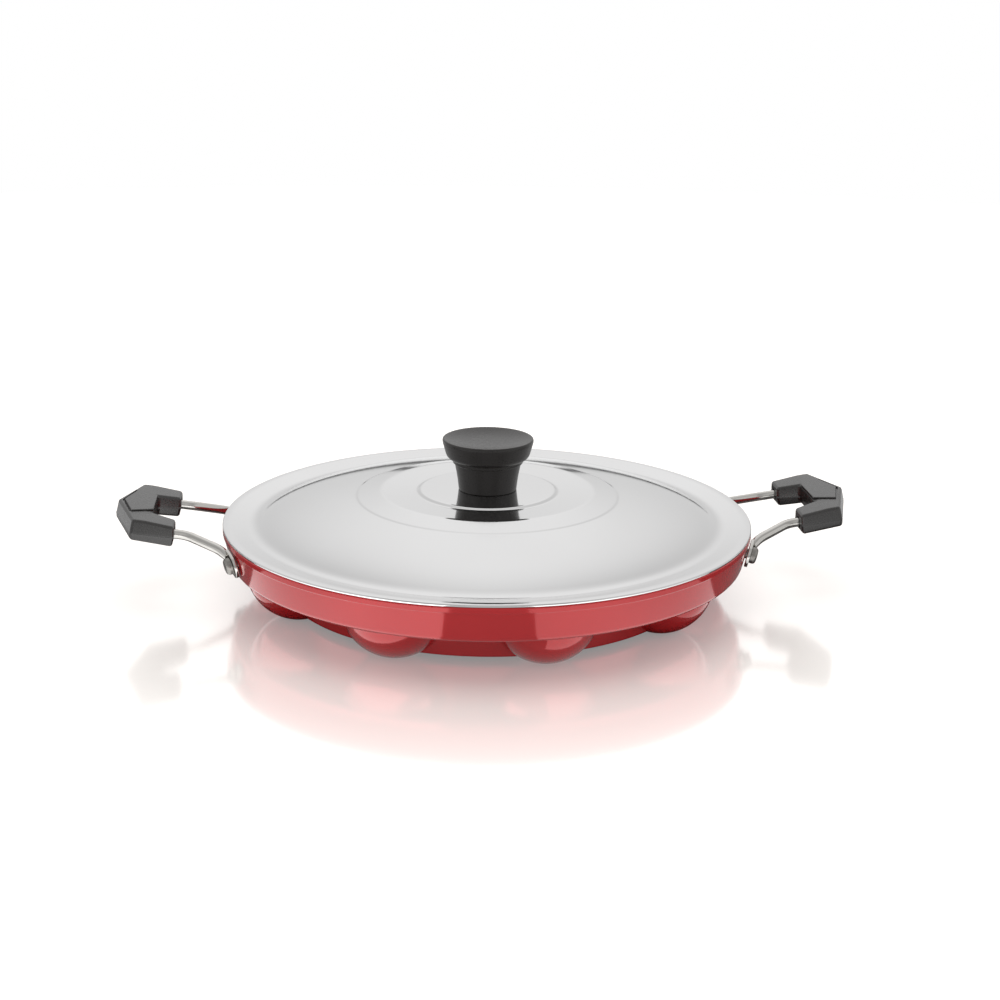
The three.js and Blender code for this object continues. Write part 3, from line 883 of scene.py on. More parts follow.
@dataclass
class LidKnob:
    """The knob and what holds it to the lid: a screw from below and its washer."""

    resin: bpy.types.Material
    plating: bpy.types.Material
    foot: float
    under: float
    height: float = 22.8
    top_radius: float = 19.9
    stem_radius: float = 15.3
    base_radius: float = 12.6
    stem_share: float = 0.59
    collar_height: float = 1.6
    collar_step: float = 0.3
    cap_taper: float = 1.3
    dish: float = 2
    edge: float = 0.6
    bore: float = 4.3
    bore_depth: float = 12.3
    washer_radius: float = 7
    washer_hole: float = 2.8
    washer: float = 1
    washer_round: float = 0.2
    screw_head: float = 4.8
    screw_head_height: float = 3
    screw_radius: float = 2.5
    screw_reach: float = 10
    facets: int = 96
    washer_facets: int = 64

    def knob(self) -> bpy.types.Object:
        """Turns the knob: waisted stem, collar, flared cap and dished top.

        Returns:
            The finished knob.
        """
        stem = self.height * self.stem_share
        collar = stem - self.collar_height
        flare = self.stem_radius - self.base_radius
        cap = self.top_radius - self.cap_taper
        hang = cap - self.stem_radius
        rim = self.top_radius - 2 * self.edge
        line = rounded([
            (0, self.bore_depth, 0),
            (self.bore, self.bore_depth, 0),
            (self.bore, 0, 0),
            (self.base_radius, 0, self.edge),
            (self.base_radius + 0.25 * flare, collar / 2, 3),
            (self.base_radius + 0.7 * flare, collar, 0.25),
            (self.stem_radius, collar + self.collar_step, 0.3),
            (self.stem_radius, stem, 0.5),
            (self.stem_radius + 0.75 * hang, stem + 0.35 * hang, 1.4),
            (cap, stem + 1.1 * hang, 1.2),
            (self.top_radius, self.height - 2 * self.edge, 0.8),
            (self.top_radius - 0.4 * self.edge, self.height, 0.7),
            (rim, self.height, 0.5),
            (0.75 * rim, self.height - 0.55 * self.dish, 3),
            (0.4 * rim, self.height - 0.95 * self.dish, 4),
            (0, self.height - self.dish, 0),
        ])
        piece = turn("knob_moulding", [(r, z + self.foot) for r, z in line], self.facets)
        smooth(piece)
        dress(piece, self.resin)
        return piece

    def washer_ring(self) -> bpy.types.Object:
        """Turns the washer under the lid.

        Returns:
            The finished washer.
        """
        low, ease = self.under - self.washer, self.washer_round
        piece = turn("knob_washer_ring", rounded([
            (self.washer_hole, low, ease), (self.washer_radius, low, ease),
            (self.washer_radius, self.under, ease), (self.washer_hole, self.under, ease),
        ], closed=True), self.washer_facets, closed=True)
        smooth(piece)
        dress(piece, self.plating)
        return piece

    def fastening(self) -> bpy.types.Object:
        """Drives the screw through washer and lid into the knob."""
        screw = Screw(self.plating, self.screw_head, self.screw_head_height, self.screw_radius,
                      self.under - self.washer, self.foot + self.screw_reach)
        return screw.build("knob_fastening", 0, 0)


@dataclass
class Screw:
    """A screw driven upward: a chamfered head with a cross recess, and a pointed shank."""

    plating: bpy.types.Material
    head_radius: float
    head_height: float
    radius: float
    seat: float
    tip: float
    cross_span: float = 0.55
    cross_width: float = 0.13
    facets: int = 32

    def build(self, name: str, x: float, y: float) -> bpy.types.Object:
        """Builds the screw.

        Args:
            name: name of the piece.
            x: place of its axis.
            y: place of its axis.

        Returns:
            The finished screw.
        """
        low = self.seat - self.head_height
        piece = turn(name, rounded([
            (0, low, 0),
            (self.head_radius, low, self.head_height / 2),
            (self.head_radius, self.seat, 0.1),
            (self.radius, self.seat, 0),
            (self.radius, self.tip - self.radius / 2, 0.2),
            (self.radius / 2, self.tip, 0.1),
            (0, self.tip, 0),
        ]), self.facets)
        for span, width in ((self.cross_span, self.cross_width), (self.cross_width, self.cross_span)):
            bpy.ops.object.select_all(action="DESELECT")
            bpy.ops.mesh.primitive_cube_add(size=2 * MM, location=(0, 0, low * MM), scale=(
                span * self.head_radius, width * self.head_radius, self.head_height / 2))
            bar = bpy.context.object
            bpy.ops.object.transform_apply(location=True, rotation=True, scale=True)
            combine(piece, bar, Joining.CARVE)
        settle(piece, Matrix.Translation((x * MM, y * MM, 0)))
        smooth(piece)
        dress(piece, self.plating)
        return piece


@dataclass
class WireHandle:
    """One handle: bent wire with flattened ends, two rivets, and a grip of two halves with screws."""

    pan: PanCasting
    wire_metal: bpy.types.Material
    rivet_metal: bpy.types.Material
    resin: bpy.types.Material
    plating: bpy.types.Material
    wire: float = 2
    seam: float = 34.5
    # Rivets
    rivet_angle: float = 17.5
    rivet_height: float = 25
    rivet_shank: float = 2.2
    rivet_head: float = 3.6
    rivet_rise: float = 2.7
    rivet_inner_rise: float = 1.2
    rivet_facets: int = 48
    # Tabs, and the wire's way from them to the grip
    tab_width: float = 10.5
    tab_thickness: float = 1.4
    tab_beyond: float = 5.8
    tab_neck: float = 7
    tab_slant: float = 55
    tab_hole: float = 2.5
    tab_round: float = 0.3
    swell_start: float = 0.6
    swell_end: float = 1.4
    swell: float = 0.6
    bend_swell: float = 0.85
    bend_gain: float = 0.05
    rise_run: float = 2.2
    exit_run: float = 2
    turn_run: float = 5
    splay_run: float = 3
    # Plan of the grip
    start: float = 134
    length: float = 26.5
    notch: float = 9.7
    half_width: float = 27.2
    arm: float = 11.8
    arm_taper: float = 3
    nose: float = 8.5
    wire_corner: float = 0.4
    # Height and slopes of the grip
    tilt: float = 8
    below: float = 4.2
    belly: float = 0.065
    rise_at_end: float = 4.6
    rise_at_middle: float = 5.9
    roof_run: float = 13
    draft: float = 0.9
    draft_height: float = 9
    # Edges and grooves of the grip, and the pad on its top
    seam_band: float = 1
    seam_groove: float = 0.3
    edge_round: float = 1.1
    pad_step: float = 0.6
    pad_root: float = 1
    pad_margin: float = 2.6
    pad_round: float = 0.35
    pad_narrow: float = 0.75
    pad_wide: float = 1.1
    pad_groove: float = 0.9
    groove_depth: float = 0.6
    groove_reach: float = 2
    # Screws of the grip, and room for them and for the wire
    screw_spacing: float = 14
    screw_radius: float = 1.25
    screw_head: float = 2.2
    screw_head_height: float = 1.5
    screw_bite: float = 3.6
    clearance: float = 0.3
    channel: float = 0.6
    cover: float = 2.2
    overcut: float = 1

    @property
    def tip(self) -> float:
        """Where the grip's nose ends."""
        return self.start + self.length

    @property
    def notch_end(self) -> float:
        """Where the finger notch ends."""
        return self.start + self.notch

    @property
    def wire_back(self) -> float:
        """Where the wire crosses inside the grip."""
        return self.notch_end + self.wire + self.channel + self.cover

    @property
    def spacing(self) -> float:
        """Distance of the wire's legs from the middle."""
        return self.half_width - self.arm / 2

    @property
    def tab_gap(self) -> float:
        """Gap between the wall and a tab."""
        return (self.pan.band_step + self.clearance) * math.cos(self.pan.lean)

    @property
    def bottom(self) -> float:
        """Height of the grip's underside at its arm ends."""
        return self.seam - self.below

    @property
    def screw_x(self) -> float:
        """Where the grip's screws stand."""
        return self.wire_back + self.wire + self.channel + self.screw_head + self.clearance

    @property
    def screw_seat(self) -> float:
        """Height at which the heads of the grip's screws bear."""
        floor = self.bottom + self.belly * (self.screw_x - self.start)
        return floor + self.screw_head_height + self.clearance

    @property
    def pose(self) -> Matrix:
        """Places the grip, which is drawn level, with its nose raised about its arm ends.

        Returns:
            The place, in metres.
        """
        pivot = Vector((self.start, 0, self.seam)) * MM
        raised = Matrix.Rotation(-math.radians(self.tilt), 4, "Y")
        return Matrix.Translation(pivot) @ raised @ Matrix.Translation(-pivot)

    def on_seam(self, x: float, y: float) -> Vector:
        """Point of the grip's seam after the grip is placed."""
        return self.pose @ (Vector((x, y, self.seam)) * MM) / MM

    def axes(self, angle: float, slant: float) -> Matrix:
        """Finds the axes of a rivet or tab on the wall.

        Args:
            angle: place round the pan, in radians.
            slant: turn about the wall's normal, in radians.

        Returns:
            A matrix in metres: X across the wall, Y up its slope, Z out of it.
        """
        lean = self.pan.lean
        out, up = Vector((math.cos(angle), math.sin(angle), 0)), Vector((0, 0, 1))
        normal = out * math.cos(lean) - up * math.sin(lean)
        slope = Quaternion(normal, slant) @ (out * math.sin(lean) + up * math.cos(lean))
        seat = out * self.pan.wall(self.rivet_height)
        seat.z = self.rivet_height
        turned = Matrix((slope.cross(normal), slope, normal)).transposed().to_4x4()
        return Matrix.Translation(seat * MM) @ turned

    def rivet_places(self) -> list[Matrix]:
        """Places of all four rivets on the wall."""
        angle = math.radians(self.rivet_angle)
        return [self.axes(turn_by + sign * angle, 0) for turn_by in (0, math.pi) for sign in (1, -1)]

    def leg(self, side: int) -> list[tuple[Vector, float]]:
        """Lays the wire from a tab to the grip.

        Args:
            side: 1 or -1, the side of the grip.

        Returns:
            Points of the wire's middle, each with its radius; it thins where it is flattened.
        """
        place = self.axes(side * math.radians(self.rivet_angle), side * math.radians(self.tab_slant))

        def on_tab(up: float, radius: float) -> Vector:
            """Point over the tab at a distance from its rivet."""
            return place @ Vector((0, up * MM, (self.tab_gap + radius) * MM)) / MM

        thin, swollen = self.tab_thickness / 2, self.swell * self.wire
        path = [(on_tab(self.rivet_head + self.swell_start, thin), thin),
                (on_tab(self.rivet_head + self.swell_end, swollen), swollen)]
        bend = on_tab(self.tab_neck - self.wire, self.bend_swell * self.wire)
        knee = on_tab(self.tab_neck + self.wire / 2, self.wire)
        exit_, turning = (self.on_seam(self.start - out, side * self.spacing)
                          for out in (self.exit_run, self.turn_run))
        heading = (knee - turning).normalized()
        rise = knee - heading * self.rise_run * self.wire
        splay = turning + heading * self.splay_run
        for i, point in enumerate(bezier(bend, knee, rise, steps=8)):
            path.append((point, self.wire * min(1, self.bend_swell + self.bend_gain * i)))
        path.extend((rise.lerp(splay, i / 6), self.wire) for i in range(1, 6))
        path.extend((point, self.wire) for point in bezier(splay, turning, exit_, steps=6))
        return path

    def loop(self, out: float) -> list[Vector]:
        """Lays the wire inside the grip, from one arm end to the other.

        Args:
            out: how far it stands out of the arm ends.

        Returns:
            Points of the wire's middle.
        """
        corner = self.wire_corner * self.spacing
        lines = [(self.start - out, -self.spacing), (self.wire_back - corner, -self.spacing),
                 (self.wire_back, -self.spacing), (self.wire_back, corner - self.spacing)]
        near = [Vector((x, y, self.seam)) for x, y in lines]
        half = [near[0], near[0].lerp(near[1], 0.5), *bezier(near[1], near[2], near[3], steps=10)]
        return [*half, *(Vector((p.x, -p.y, p.z)) for p in reversed(half))]

    def rod(self, name: str, path: Sequence[tuple[Vector, float]]) -> bpy.types.Object:
        """Makes a round rod along a line drawn edge by edge.

        Args:
            name: name of the piece.
            path: points of its middle, each with its radius.

        Returns:
            The rod as a mesh.
        """
        piece = draw_line(name, [point for point, _ in path])
        bpy.ops.object.mode_set(mode="OBJECT")
        only(piece)
        bpy.ops.object.convert(target="CURVE")
        curve = piece.data
        curve.dimensions = "3D"
        curve.bevel_depth = self.wire * MM
        curve.bevel_resolution = 4
        curve.use_fill_caps = True
        ends = (path[0][0], path[-1][0])
        points = curve.splines[0].points
        forward = (points[0].co.xyz / MM - ends[0]).length < (points[0].co.xyz / MM - ends[1]).length
        sizes = [radius for _, radius in (path if forward else reversed(path))]
        for point, size in zip(points, sizes):
            point.radius = size / self.wire
        bpy.ops.object.convert(target="MESH")
        bpy.ops.object.mode_set(mode="EDIT")
        close_up()
        return bpy.context.object

    def tab(self, side: int) -> bpy.types.Object:
        """Makes a flattened wire end, holed for its rivet.

        Args:
            side: 1 or -1, the side of the grip.

        Returns:
            The tab in its place on the wall.
        """
        half = self.tab_width / 2
        low = half - self.tab_beyond
        neck = [(half, low, 1), (0.8 * half, self.tab_neck / 2, 2), (self.wire, self.tab_neck, 0.6),
                (-self.wire, self.tab_neck, 0.6), (-0.8 * half, self.tab_neck / 2, 2), (-half, low, 1)]
        plan = [*rounded(neck), *arc((0, low), half, 180, 360, steps=24)[1:-1]]
        piece = plate("tab", plan, self.tab_gap, self.tab_thickness)
        bevel_edges(piece, lambda a, b: abs(a.z - b.z) < LEVEL, self.tab_round, segments=2)
        drill(piece, self.tab_hole, 2 * self.tab_width, Matrix())
        settle(piece, self.axes(side * math.radians(self.rivet_angle), side * math.radians(self.tab_slant)))
        return piece

    def bent_wire(self) -> bpy.types.Object:
        """Makes the wire with both of its tabs.

        Returns:
            The finished wire.
        """
        inside = [(self.on_seam(point.x, point.y), self.wire) for point in self.loop(out=-1)]
        path = [*self.leg(-1), *inside, *reversed(self.leg(1))]
        piece = self.rod("right_wire", path)
        for side in (-1, 1):
            combine(piece, self.tab(side), Joining.ADD)
        smooth(piece, degrees=40)
        dress(piece, self.wire_metal)
        return piece

    def rivet(self, name: str, angle: float) -> bpy.types.Object:
        """Makes a rivet through tab and wall.

        Args:
            name: name of the piece.
            angle: its place round the pan, in degrees.

        Returns:
            The finished rivet.
        """
        outer = self.tab_gap + self.tab_thickness + self.clearance / 2
        inner = -self.pan.thickness - self.clearance
        head, crown = self.rivet_head, outer + self.rivet_rise
        piece = turn(name, rounded([
            (0, inner - self.rivet_inner_rise, 0),
            (0.65 * head, inner - self.rivet_inner_rise, 1),
            (head, inner - self.rivet_inner_rise / 3, 0.4),
            (head, inner, 0.1),
            (self.rivet_shank, inner, 0),
            (self.rivet_shank, outer, 0),
            (head, outer, 0.15),
            (head, crown - 0.35 * self.rivet_rise, 0.5),
            (0.8 * head, crown - 0.05 * self.rivet_rise, 0.6),
            (0.4 * head, crown, 0.5),
            (0, crown, 0),
        ]), self.rivet_facets)
        settle(piece, self.axes(math.radians(angle), 0))
        smooth(piece)
        dress(piece, self.rivet_metal)
        return piece

    def plan(self) -> list[Point]:
        """Draws the grip's outline at its seam: a blunt horseshoe with a pointed nose.

        Returns:
            Its (x, y) points.
        """
        inner = self.half_width - self.arm
        half = [(self.notch_end, inner - self.arm_taper), (self.start, inner),
                (self.start, self.half_width), (self.tip - self.nose, self.half_width), (self.tip, 0)]
        far = [(x, -y) for x, y in reversed(half[:-1])]
        return [*reversed(far), *reversed(half)]

    def grip_half(self, name: str, up: int, cuts: Sequence[tuple[Vector, Vector]]) -> bpy.types.Object:
        """Makes a grip half: the plan raised from the seam with drafted sides, then sliced to its height.

        Args:
            name: name of the piece.
            up: 1 for the upper half, -1 for the lower.
            cuts: planes as a point and the normal of the side that goes.

        Returns:
            The half with its edges rounded.
        """
        piece = plate(name, self.plan(), self.seam, up * self.seam_band / 2)
        top = self.seam + up * self.seam_band / 2
        for face in piece.data.polygons:
            face.select = abs(face.center.z / MM - top) < LEVEL
        bpy.context.tool_settings.mesh_select_mode = (False, False, True)
        bpy.ops.object.mode_set(mode="EDIT")
        bpy.ops.mesh.inset(thickness=self.draft * MM, depth=self.draft_height * MM)
        for point, normal in cuts:
            bpy.ops.mesh.select_all(action="SELECT")
            bpy.ops.mesh.bisect(plane_co=point * MM, plane_no=normal, use_fill=True, clear_outer=True)
        close_up()
        bpy.context.tool_settings.mesh_select_mode = (True, False, False)

        def outer(a: Vector, b: Vector) -> bool:
            """Whether an edge stands clear of the seam and its band."""
            return max(up * (a.z - top), up * (b.z - top)) > 5 * LEVEL

        def seam(a: Vector, b: Vector) -> bool:
            """Whether an edge lies on the seam."""
            return max(abs(a.z - self.seam), abs(b.z - self.seam)) < LEVEL

        bevel_edges(piece, outer, self.edge_round, segments=4)
        bevel_edges(piece, seam, self.seam_groove, segments=1)
        return piece

    def pad(self, grow: float, low: float, high: float) -> bpy.types.Object:
        """Makes the raised flat on the grip's middle, or the plate that cuts the groove round it.

        Args:
            grow: how far it reaches beyond the flat.
            low: its lower face, from the grip's middle height.
            high: its upper face.

        Returns:
            The plate with its upper edges rounded.
        """
        inset = self.draft * self.rise_at_middle / self.draft_height
        inner, tip = self.notch_end + inset, self.tip - inset - self.pad_margin + grow
        shoulder, half = tip - self.nose / 2, self.half_width / 2
        narrow, wide = self.pad_narrow * half + grow, self.pad_wide * half + grow
        plan = [(inner, -narrow), (shoulder, -wide), (tip, 0), (shoulder, wide), (inner, narrow)]
        middle = self.seam + self.rise_at_middle
        piece = plate("pad", plan, middle + low, high - low)
        bevel_edges(piece, lambda a, b: min(a.z, b.z) > middle, self.pad_round, segments=2)
        return piece

    def bore(self, piece: bpy.types.Object, y: float, radius: float, low: float, high: float) -> None:
        """Carves an upright hole at a grip screw.

        Args:
            piece: what is drilled.
            y: place of the hole.
            radius: its radius.
            low: its lower end.
            high: its upper end.
        """
        middle = Vector((self.screw_x, y, (high + low) / 2)) * MM
        drill(piece, radius, high - low, Matrix.Translation(middle))

    def channel_rod(self) -> bpy.types.Object:
        """Makes the rod that leaves room for the wire in both halves."""
        return self.rod("channel", [(point, self.wire + self.channel) for point in self.loop(out=3)])

    def grip(self) -> tuple[bpy.types.Object, bpy.types.Object]:
        """Makes both halves of the grip.

        Returns:
            The upper and the lower half.
        """
        middle = self.seam + self.rise_at_middle
        fall = (self.rise_at_middle - self.rise_at_end) / self.roof_run
        upper = self.grip_half("right_upper", 1, [
            (Vector((self.start, 0, middle)), Vector((0, 0, 1))),
            (Vector((self.start, 0, self.seam + self.rise_at_end)), Vector((-fall, 0, 1))),
        ])
        combine(upper, self.pad(self.pad_groove, -self.groove_depth, self.groove_reach), Joining.CARVE)
        combine(upper, self.pad(0, -self.pad_root, self.pad_step), Joining.ADD)
        combine(upper, self.channel_rod(), Joining.CARVE)
        lower = self.grip_half("right_lower", -1, [
            (Vector((self.start, 0, self.bottom)), Vector((self.belly, 0, -1))),
        ])
        combine(lower, self.channel_rod(), Joining.CARVE)
        shank, head = self.screw_radius + self.clearance, self.screw_head + self.clearance
        for y in (-self.screw_spacing / 2, self.screw_spacing / 2):
            self.bore(upper, y, shank, self.seam - self.overcut,
                      self.seam + self.screw_bite + self.clearance)
            self.bore(lower, y, shank, self.bottom - self.overcut, self.seam + self.overcut)
            self.bore(lower, y, head, self.bottom - self.overcut, self.screw_seat)
        for half in (upper, lower):
            smooth(half, degrees=25)
            settle(half, self.pose)
            dress(half, self.resin)
        return upper, lower

    def build(self) -> dict[str, bpy.types.Object]:
        """Builds the right handle.

        Returns:
            Its pieces by the name of the solid each stands for, less the side.
        """
        upper, lower = self.grip()
        pieces = {"handle_wire": self.bent_wire(), "grip_upper": upper, "grip_lower": lower}
        screw = Screw(self.plating, self.screw_head, self.screw_head_height, self.screw_radius,
                      self.screw_seat, self.seam + self.screw_bite)
        for i, sign in enumerate((-1, 1), 1):
            driven = screw.build(f"right_screw_{i}", self.screw_x, sign * self.screw_spacing / 2)
            settle(driven, self.pose)
            pieces[f"grip_screw_{i}"] = driven
        for i, sign in enumerate((1, -1), 1):
            pieces[f"rivet_{i}"] = self.rivet(f"right_rivet_{i}_headed", sign * self.rivet_angle)
        return pieces


def half_turn(piece: bpy.types.Object) -> bpy.types.Object:
    """Copies a piece of the right handle half round the pan for the left one.

    Args:
        piece: the right handle's piece.

    Returns:
        The left handle's piece.
    """
    copy = duplicate(piece, piece.name.replace("right", "left"))
    bpy.ops.transform.rotate(value=math.pi, orient_axis="Z", center_override=(0, 0, 0))
    bpy.ops.object.transform_apply(location=True, rotation=True, scale=True)
    return copy


# Studio


def blank_material(name: str) -> bpy.types.Material:
    """Starts a material with an empty node tree.

    Args:
        name: its name.

    Returns:
        The material.
    """
    material = bpy.data.materials.new(name)
    material.use_nodes = True
    material.node_tree.nodes.clear()
    return material


@dataclass
class Studio:
    """Camera at the photograph's angle, pale glossy table, soft lamp, two panels and a white surround."""

    # The camera fitted to the photograph, in degrees, millimetres and pixels of its frame
    elevation: float = 17.267
    distance: float = 772.78
    focal: float = 1758.29
    roll: float = 0.606
    swing: float = 5.55
    rim: float = 33.7
    rim_x: float = 487.28
    rim_y: float = 514.88
    image: float = 1000
    sensor: float = 36
    # The panels' reach from the middle, and the share of light left at their outer ends
    panel_near: float = 110
    panel_far: float = 240
    panel_fall: float = 0.6
    # The surround: its sky, its share behind the camera, its screen, and the light that it gives matt faces
    sky: float = 0.76
    behind: float = 0.6
    screen: float = 0.28
    fill: float = 0.72
    # The table: its mirror near the middle, what gloss sees less of that, and the painted glow that only
    # gloss sees on it
    table_radius: float = 1500
    mirror: float = 0.52
    mirror_loss: float = 0.35
    front_painted_glow: float = 0.42
    clear_painted_glow: float = 0.8

    def camera(self) -> None:
        """Sets the camera so that the lid's edge lands where the photograph has it."""
        el, roll = math.radians(self.elevation), math.radians(self.roll)
        right, ahead = self.axes
        back = -ahead * math.cos(el) + Vector((0, 0, math.sin(el)))
        up = ahead * math.sin(el) + Vector((0, 0, math.cos(el)))
        across = right * math.cos(roll) + up * math.sin(roll)
        upward = up * math.cos(roll) - right * math.sin(roll)
        half = self.image / 2
        aim = (-back * self.focal + across * (half - self.rim_x)
               + upward * (self.rim_y - half)).normalized()
        across = (across - aim * across.dot(aim)).normalized()
        turned = Matrix((across, across.cross(aim), -aim)).transposed().to_4x4()
        bpy.ops.object.camera_add()
        camera = bpy.context.object
        place = (back * self.distance + Vector((0, 0, self.rim))) * MM
        camera.matrix_world = Matrix.Translation(place) @ turned
        camera.data.sensor_width = self.sensor
        camera.data.lens = self.focal * self.sensor / self.image
        bpy.context.scene.camera = camera

    @property
    def axes(self) -> tuple[Vector, Vector]:
        """Level directions to the camera's right and straight away from it."""
        swing = math.radians(self.swing)
        return Vector((math.cos(swing), -math.sin(swing), 0)), Vector((math.sin(swing), math.cos(swing), 0))

    def surround(self) -> None:
        """Makes the surround: white to the camera, with a far screen and a dim near side to gloss."""
        world = bpy.data.worlds.new("studio_surround")
        bpy.context.scene.world = world
        world.use_nodes = True
        tree = world.node_tree
        tree.nodes.clear()
        ray = add_node(tree, "ShaderNodeLightPath", {}, {})
        way = add_node(tree, "ShaderNodeTexCoord", {}, {}).outputs["Generated"]
        height = add_node(tree, "ShaderNodeSeparateXYZ", {}, {"Vector": way}).outputs["Z"]
        horizon = add_node(tree, "ShaderNodeMapRange", SMOOTH,
                           {"Value": height, "From Min": 0.0, "From Max": 0.03,
                            "To Min": 0.05, "To Max": self.sky})
        across, ahead = (add_node(tree, "ShaderNodeVectorMath", {"operation": "DOT_PRODUCT"},
                                  {0: way, 1: axis}).outputs["Value"] for axis in self.axes)
        distant = add_node(tree, "ShaderNodeMapRange", SMOOTH,
                           {"Value": ahead, "From Min": -0.2, "From Max": 0.35,
                            "To Min": self.behind, "To Max": 1.0})
        sideways = add_node(tree, "ShaderNodeMath", {"operation": "ABSOLUTE"}, {0: across})
        flank = add_node(tree, "ShaderNodeMapRange", SMOOTH,
                         {"Value": sideways.outputs[0], "From Min": 0.3, "From Max": 0.7})
        open_ = add_node(tree, "ShaderNodeMath", {"operation": "MAXIMUM"},
                         {0: distant.outputs["Result"], 1: flank.outputs["Result"]})
        spot = add_node(tree, "ShaderNodeCombineXYZ", {}, {"X": across, "Y": height})
        beside = add_node(tree, "ShaderNodeVectorMath", {"operation": "MULTIPLY_ADD"},
                          {0: spot.outputs["Vector"], 1: (2.5, 2, 0), 2: (0, -1.2, 0)})
        span = add_node(tree, "ShaderNodeVectorMath", {"operation": "LENGTH"},
                        {0: beside.outputs["Vector"]})
        screen = add_node(tree, "ShaderNodeMapRange", SMOOTH,
                          {"Value": span.outputs["Value"], "From Min": 0.2, "From Max": 1.2,
                           "To Min": self.screen, "To Max": 0.0})
        studio = add_node(tree, "ShaderNodeMath", {"operation": "ADD"},
                          {0: horizon.outputs["Result"], 1: screen.outputs["Result"]})
        seen = add_node(tree, "ShaderNodeMath", {"operation": "MULTIPLY"},
                        {0: studio.outputs[0], 1: open_.outputs[0]})
        other = add_node(tree, "ShaderNodeMix", {},
                         {"Factor": ray.outputs["Is Glossy Ray"], 2: self.fill, 3: seen.outputs[0]})
        level = add_node(tree, "ShaderNodeMix", {},
                         {"Factor": ray.outputs["Is Camera Ray"], 2: other.outputs[0], 3: 1.0})
        light = add_node(tree, "ShaderNodeBackground", {},
                         {"Color": (1, 1, 1, 1), "Strength": level.outputs[0]})
        add_node(tree, "ShaderNodeOutputWorld", {}, {"Surface": light.outputs["Background"]})

    def table(self) -> None:
        """Makes the table: white gloss that mirrors the pan near it and fades to plain white."""
        bpy.ops.object.select_all(action="DESELECT")
        bpy.ops.mesh.primitive_circle_add(vertices=96, radius=self.table_radius * MM, fill_type="NGON")
        top = bpy.context.object
        top.name = "studio_table"
        # Cast acrylic sheet: plain white with a wet gloss.
        material = blank_material("white_acrylic_cast")
        tree = material.node_tree
        place = add_node(tree, "ShaderNodeTexCoord", {}, {}).outputs["Object"]
        span = add_node(tree, "ShaderNodeVectorMath", {"operation": "LENGTH"}, {0: place}).outputs["Value"]
        # To the camera it brightens outwards to plain white and mirrors what stands near its middle.
        far = add_node(tree, "ShaderNodeMapRange", SMOOTH,
                       {"Value": span, "From Min": 0.2, "From Max": 0.6, "To Min": 0.5, "To Max": 1.0})
        near = add_node(tree, "ShaderNodeMapRange", SMOOTH,
                        {"Value": span, "From Min": 0.1, "From Max": 0.3,
                         "To Min": self.mirror, "To Max": 0.0})
        # To gloss it glows in front of the pan and well clear of it, and is dark beside it: painted glow
        # and painted shade that only the pan's reflections show.
        depth = add_node(tree, "ShaderNodeVectorMath", {"operation": "DOT_PRODUCT"},
                         {0: place, 1: self.axes[1]})
        front = add_node(tree, "ShaderNodeMapRange", SMOOTH,
                         {"Value": depth.outputs["Value"], "From Min": -0.1, "From Max": -0.06,
                          "To Min": self.front_painted_glow, "To Max": 0.0})
        around = add_node(tree, "ShaderNodeMapRange", SMOOTH,
                          {"Value": span, "From Min": 0.19, "From Max": 0.28,
                           "To Min": 0.0, "To Max": self.clear_painted_glow})
        painted_glow = add_node(tree, "ShaderNodeMath", {"operation": "MAXIMUM"},
                       {0: front.outputs["Result"], 1: around.outputs["Result"]})
        ray = add_node(tree, "ShaderNodeLightPath", {}, {})
        seen = add_node(tree, "ShaderNodeMath", {"operation": "MULTIPLY"},
                        {0: ray.outputs["Is Camera Ray"], 1: far.outputs["Result"]})
        # Emission: plain white to the camera, and the painted glow to gloss alone.
        glow = add_node(tree, "ShaderNodeMath", {"operation": "MULTIPLY_ADD"},
                        {0: ray.outputs["Is Glossy Ray"], 1: painted_glow.outputs[0], 2: seen.outputs[0]})
        white = add_node(tree, "ShaderNodeEmission", {}, {"Strength": glow.outputs[0]})
        # Matt colour: warm white, but dark grey to gloss alone, which is painted shade seen only in the
        # pan's reflections.
        tint_and_painted_shade = add_node(tree, "ShaderNodeMix", COLOUR,
                        {"Factor": ray.outputs["Is Glossy Ray"], 6: linear("ECE6E0"), 7: linear("595959")})
        matt = add_node(tree, "ShaderNodeBsdfDiffuse", {}, {"Color": tint_and_painted_shade.outputs[2]})
        plain = add_node(tree, "ShaderNodeAddShader", {}, {0: white.outputs[0], 1: matt.outputs[0]})
        mirror = add_node(tree, "ShaderNodeBsdfGlossy", {}, {"Color": linear("FFFDFB"), "Roughness": 0.12})
        sheen = add_node(tree, "ShaderNodeMath", {"operation": "MULTIPLY_ADD", "use_clamp": True},
                         {0: ray.outputs["Is Glossy Ray"], 1: -self.mirror_loss, 2: near.outputs["Result"]})
        both = add_node(tree, "ShaderNodeMixShader", {},
                        {0: sheen.outputs[0], 1: plain.outputs[0], 2: mirror.outputs[0]})
        add_node(tree, "ShaderNodeOutputMaterial", {}, {"Surface": both.outputs[0]})
        dress(top, material)

    def overhead(self, height: float, size: float, power: float) -> None:
        """Hangs a soft square lamp over the pan, a little beyond it, that gloss doesn't show.

        Args:
            height: its height in metres.
            size: its width in metres.
            power: its watts.
        """
        bpy.ops.object.light_add(type="AREA", location=(0, height / 12, height))
        lamp = bpy.context.object
        lamp.name = "soft_top"
        lamp.data.size = size
        lamp.data.energy = power
        lamp.visible_glossy = False

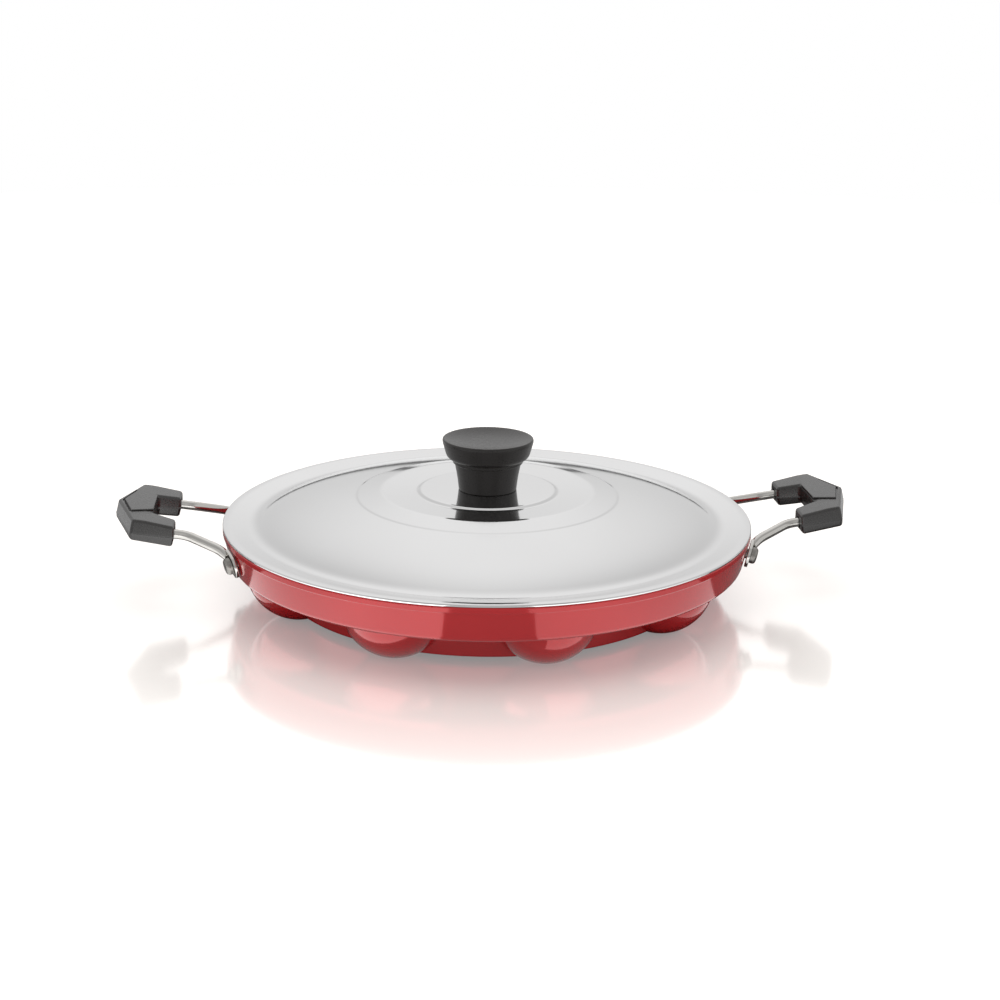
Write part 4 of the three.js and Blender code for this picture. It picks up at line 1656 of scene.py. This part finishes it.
    def panel(self, name: str, start: float, end: float, strength: float) -> None:
        """Lays a bright panel on the table, dimmer at its outer end, that shows in the pan's gloss alone.

        Args:
            name: its name.
            start: angle of one side from the camera's direction, in degrees, positive to its right.
            end: angle of its other side.
            strength: how bright it is; one is white.
        """
        first, sweep = (math.radians(a) for a in (start - self.swing - 90, end - start))
        ray = Vector((math.cos(first), math.sin(first), 0))
        lift = Vector((0, 0, 1))
        piece = draw_line(name, [ray * self.panel_near + lift, ray * self.panel_far + lift])
        bpy.ops.mesh.spin(steps=24, angle=-sweep, center=(0, 0, 0), axis=(0, 0, 1))
        bpy.ops.object.mode_set(mode="OBJECT")
        # Diffuser cloth lit from behind: a white glow on one side that fades outwards.
        material = blank_material("panel_diffuser_cloth")
        tree = material.node_tree
        side = add_node(tree, "ShaderNodeNewGeometry", {}, {})
        place = add_node(tree, "ShaderNodeTexCoord", {}, {}).outputs["Object"]
        toward = add_node(tree, "ShaderNodeVectorMath", {"operation": "NORMALIZE"}, {0: place})
        across = add_node(tree, "ShaderNodeVectorMath", {"operation": "DOT_PRODUCT"},
                          {0: toward.outputs["Vector"], 1: self.axes[0]})
        aside = add_node(tree, "ShaderNodeMath", {"operation": "ABSOLUTE"}, {0: across.outputs["Value"]})
        level = add_node(tree, "ShaderNodeMapRange", SMOOTH,
                         {"Value": aside.outputs[0], "From Min": 0.5, "From Max": 0.97,
                          "To Min": strength, "To Max": strength * self.panel_fall})
        bright = add_node(tree, "ShaderNodeEmission", {}, {"Strength": level.outputs["Result"]})
        clear = add_node(tree, "ShaderNodeBsdfTransparent", {}, {})
        both = add_node(tree, "ShaderNodeMixShader", {},
                        {0: side.outputs["Backfacing"], 1: bright.outputs[0], 2: clear.outputs[0]})
        add_node(tree, "ShaderNodeOutputMaterial", {}, {"Surface": both.outputs[0]})
        dress(piece, material)
        piece.visible_camera = piece.visible_diffuse = piece.visible_shadow = False

    def build(self) -> None:
        """Sets up the whole studio."""
        self.camera()
        self.surround()
        self.table()
        self.overhead(height=1.2, size=1.0, power=7)
        self.panel("left_panel", start=-77, end=-10.5, strength=2.3)
        self.panel("right_panel", start=12, end=71, strength=1.8)
        bpy.context.scene.view_settings.view_transform = "Standard"


def main() -> None:
    """Builds the studio, the pan, its lid and its handles."""
    logging.basicConfig(level=logging.INFO, format="%(name)s %(message)s")
    Studio().build()
    red, black, steel, resin, buffed, wire, rivet, brass, zinc = (finish.make() for finish in (
        RED_LACQUER, NONSTICK, POLISHED_STEEL, PHENOLIC, BUFFED_RESIN, WIRE, RIVET, BRASS, ZINC))

    pan = PanCasting((red, black))
    handle = WireHandle(pan, wire, rivet, buffed, zinc)
    hand_over(pan.build(handle.rivet_places()), Body.PAN, "pan_body")

    lid = FormedLid(steel)
    knob = LidKnob(resin, zinc, foot=lid.plateau, under=lid.plateau - lid.sheet)
    hand_over(lid.build(), Body.LID, "lid")
    hand_over(knob.knob(), Body.LID, "lid_knob")
    hand_over(knob.washer_ring(), Body.LID, "knob_washer")
    hand_over(knob.fastening(), Body.LID, "knob_screw")
    dress(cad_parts["knob_insert"], brass)

    for part, right in handle.build().items():
        left = half_turn(right)
        hand_over(right, Body.PAN, f"right_{part}")
        hand_over(left, Body.PAN, f"left_{part}")


if __name__ == "__main__":
    main()
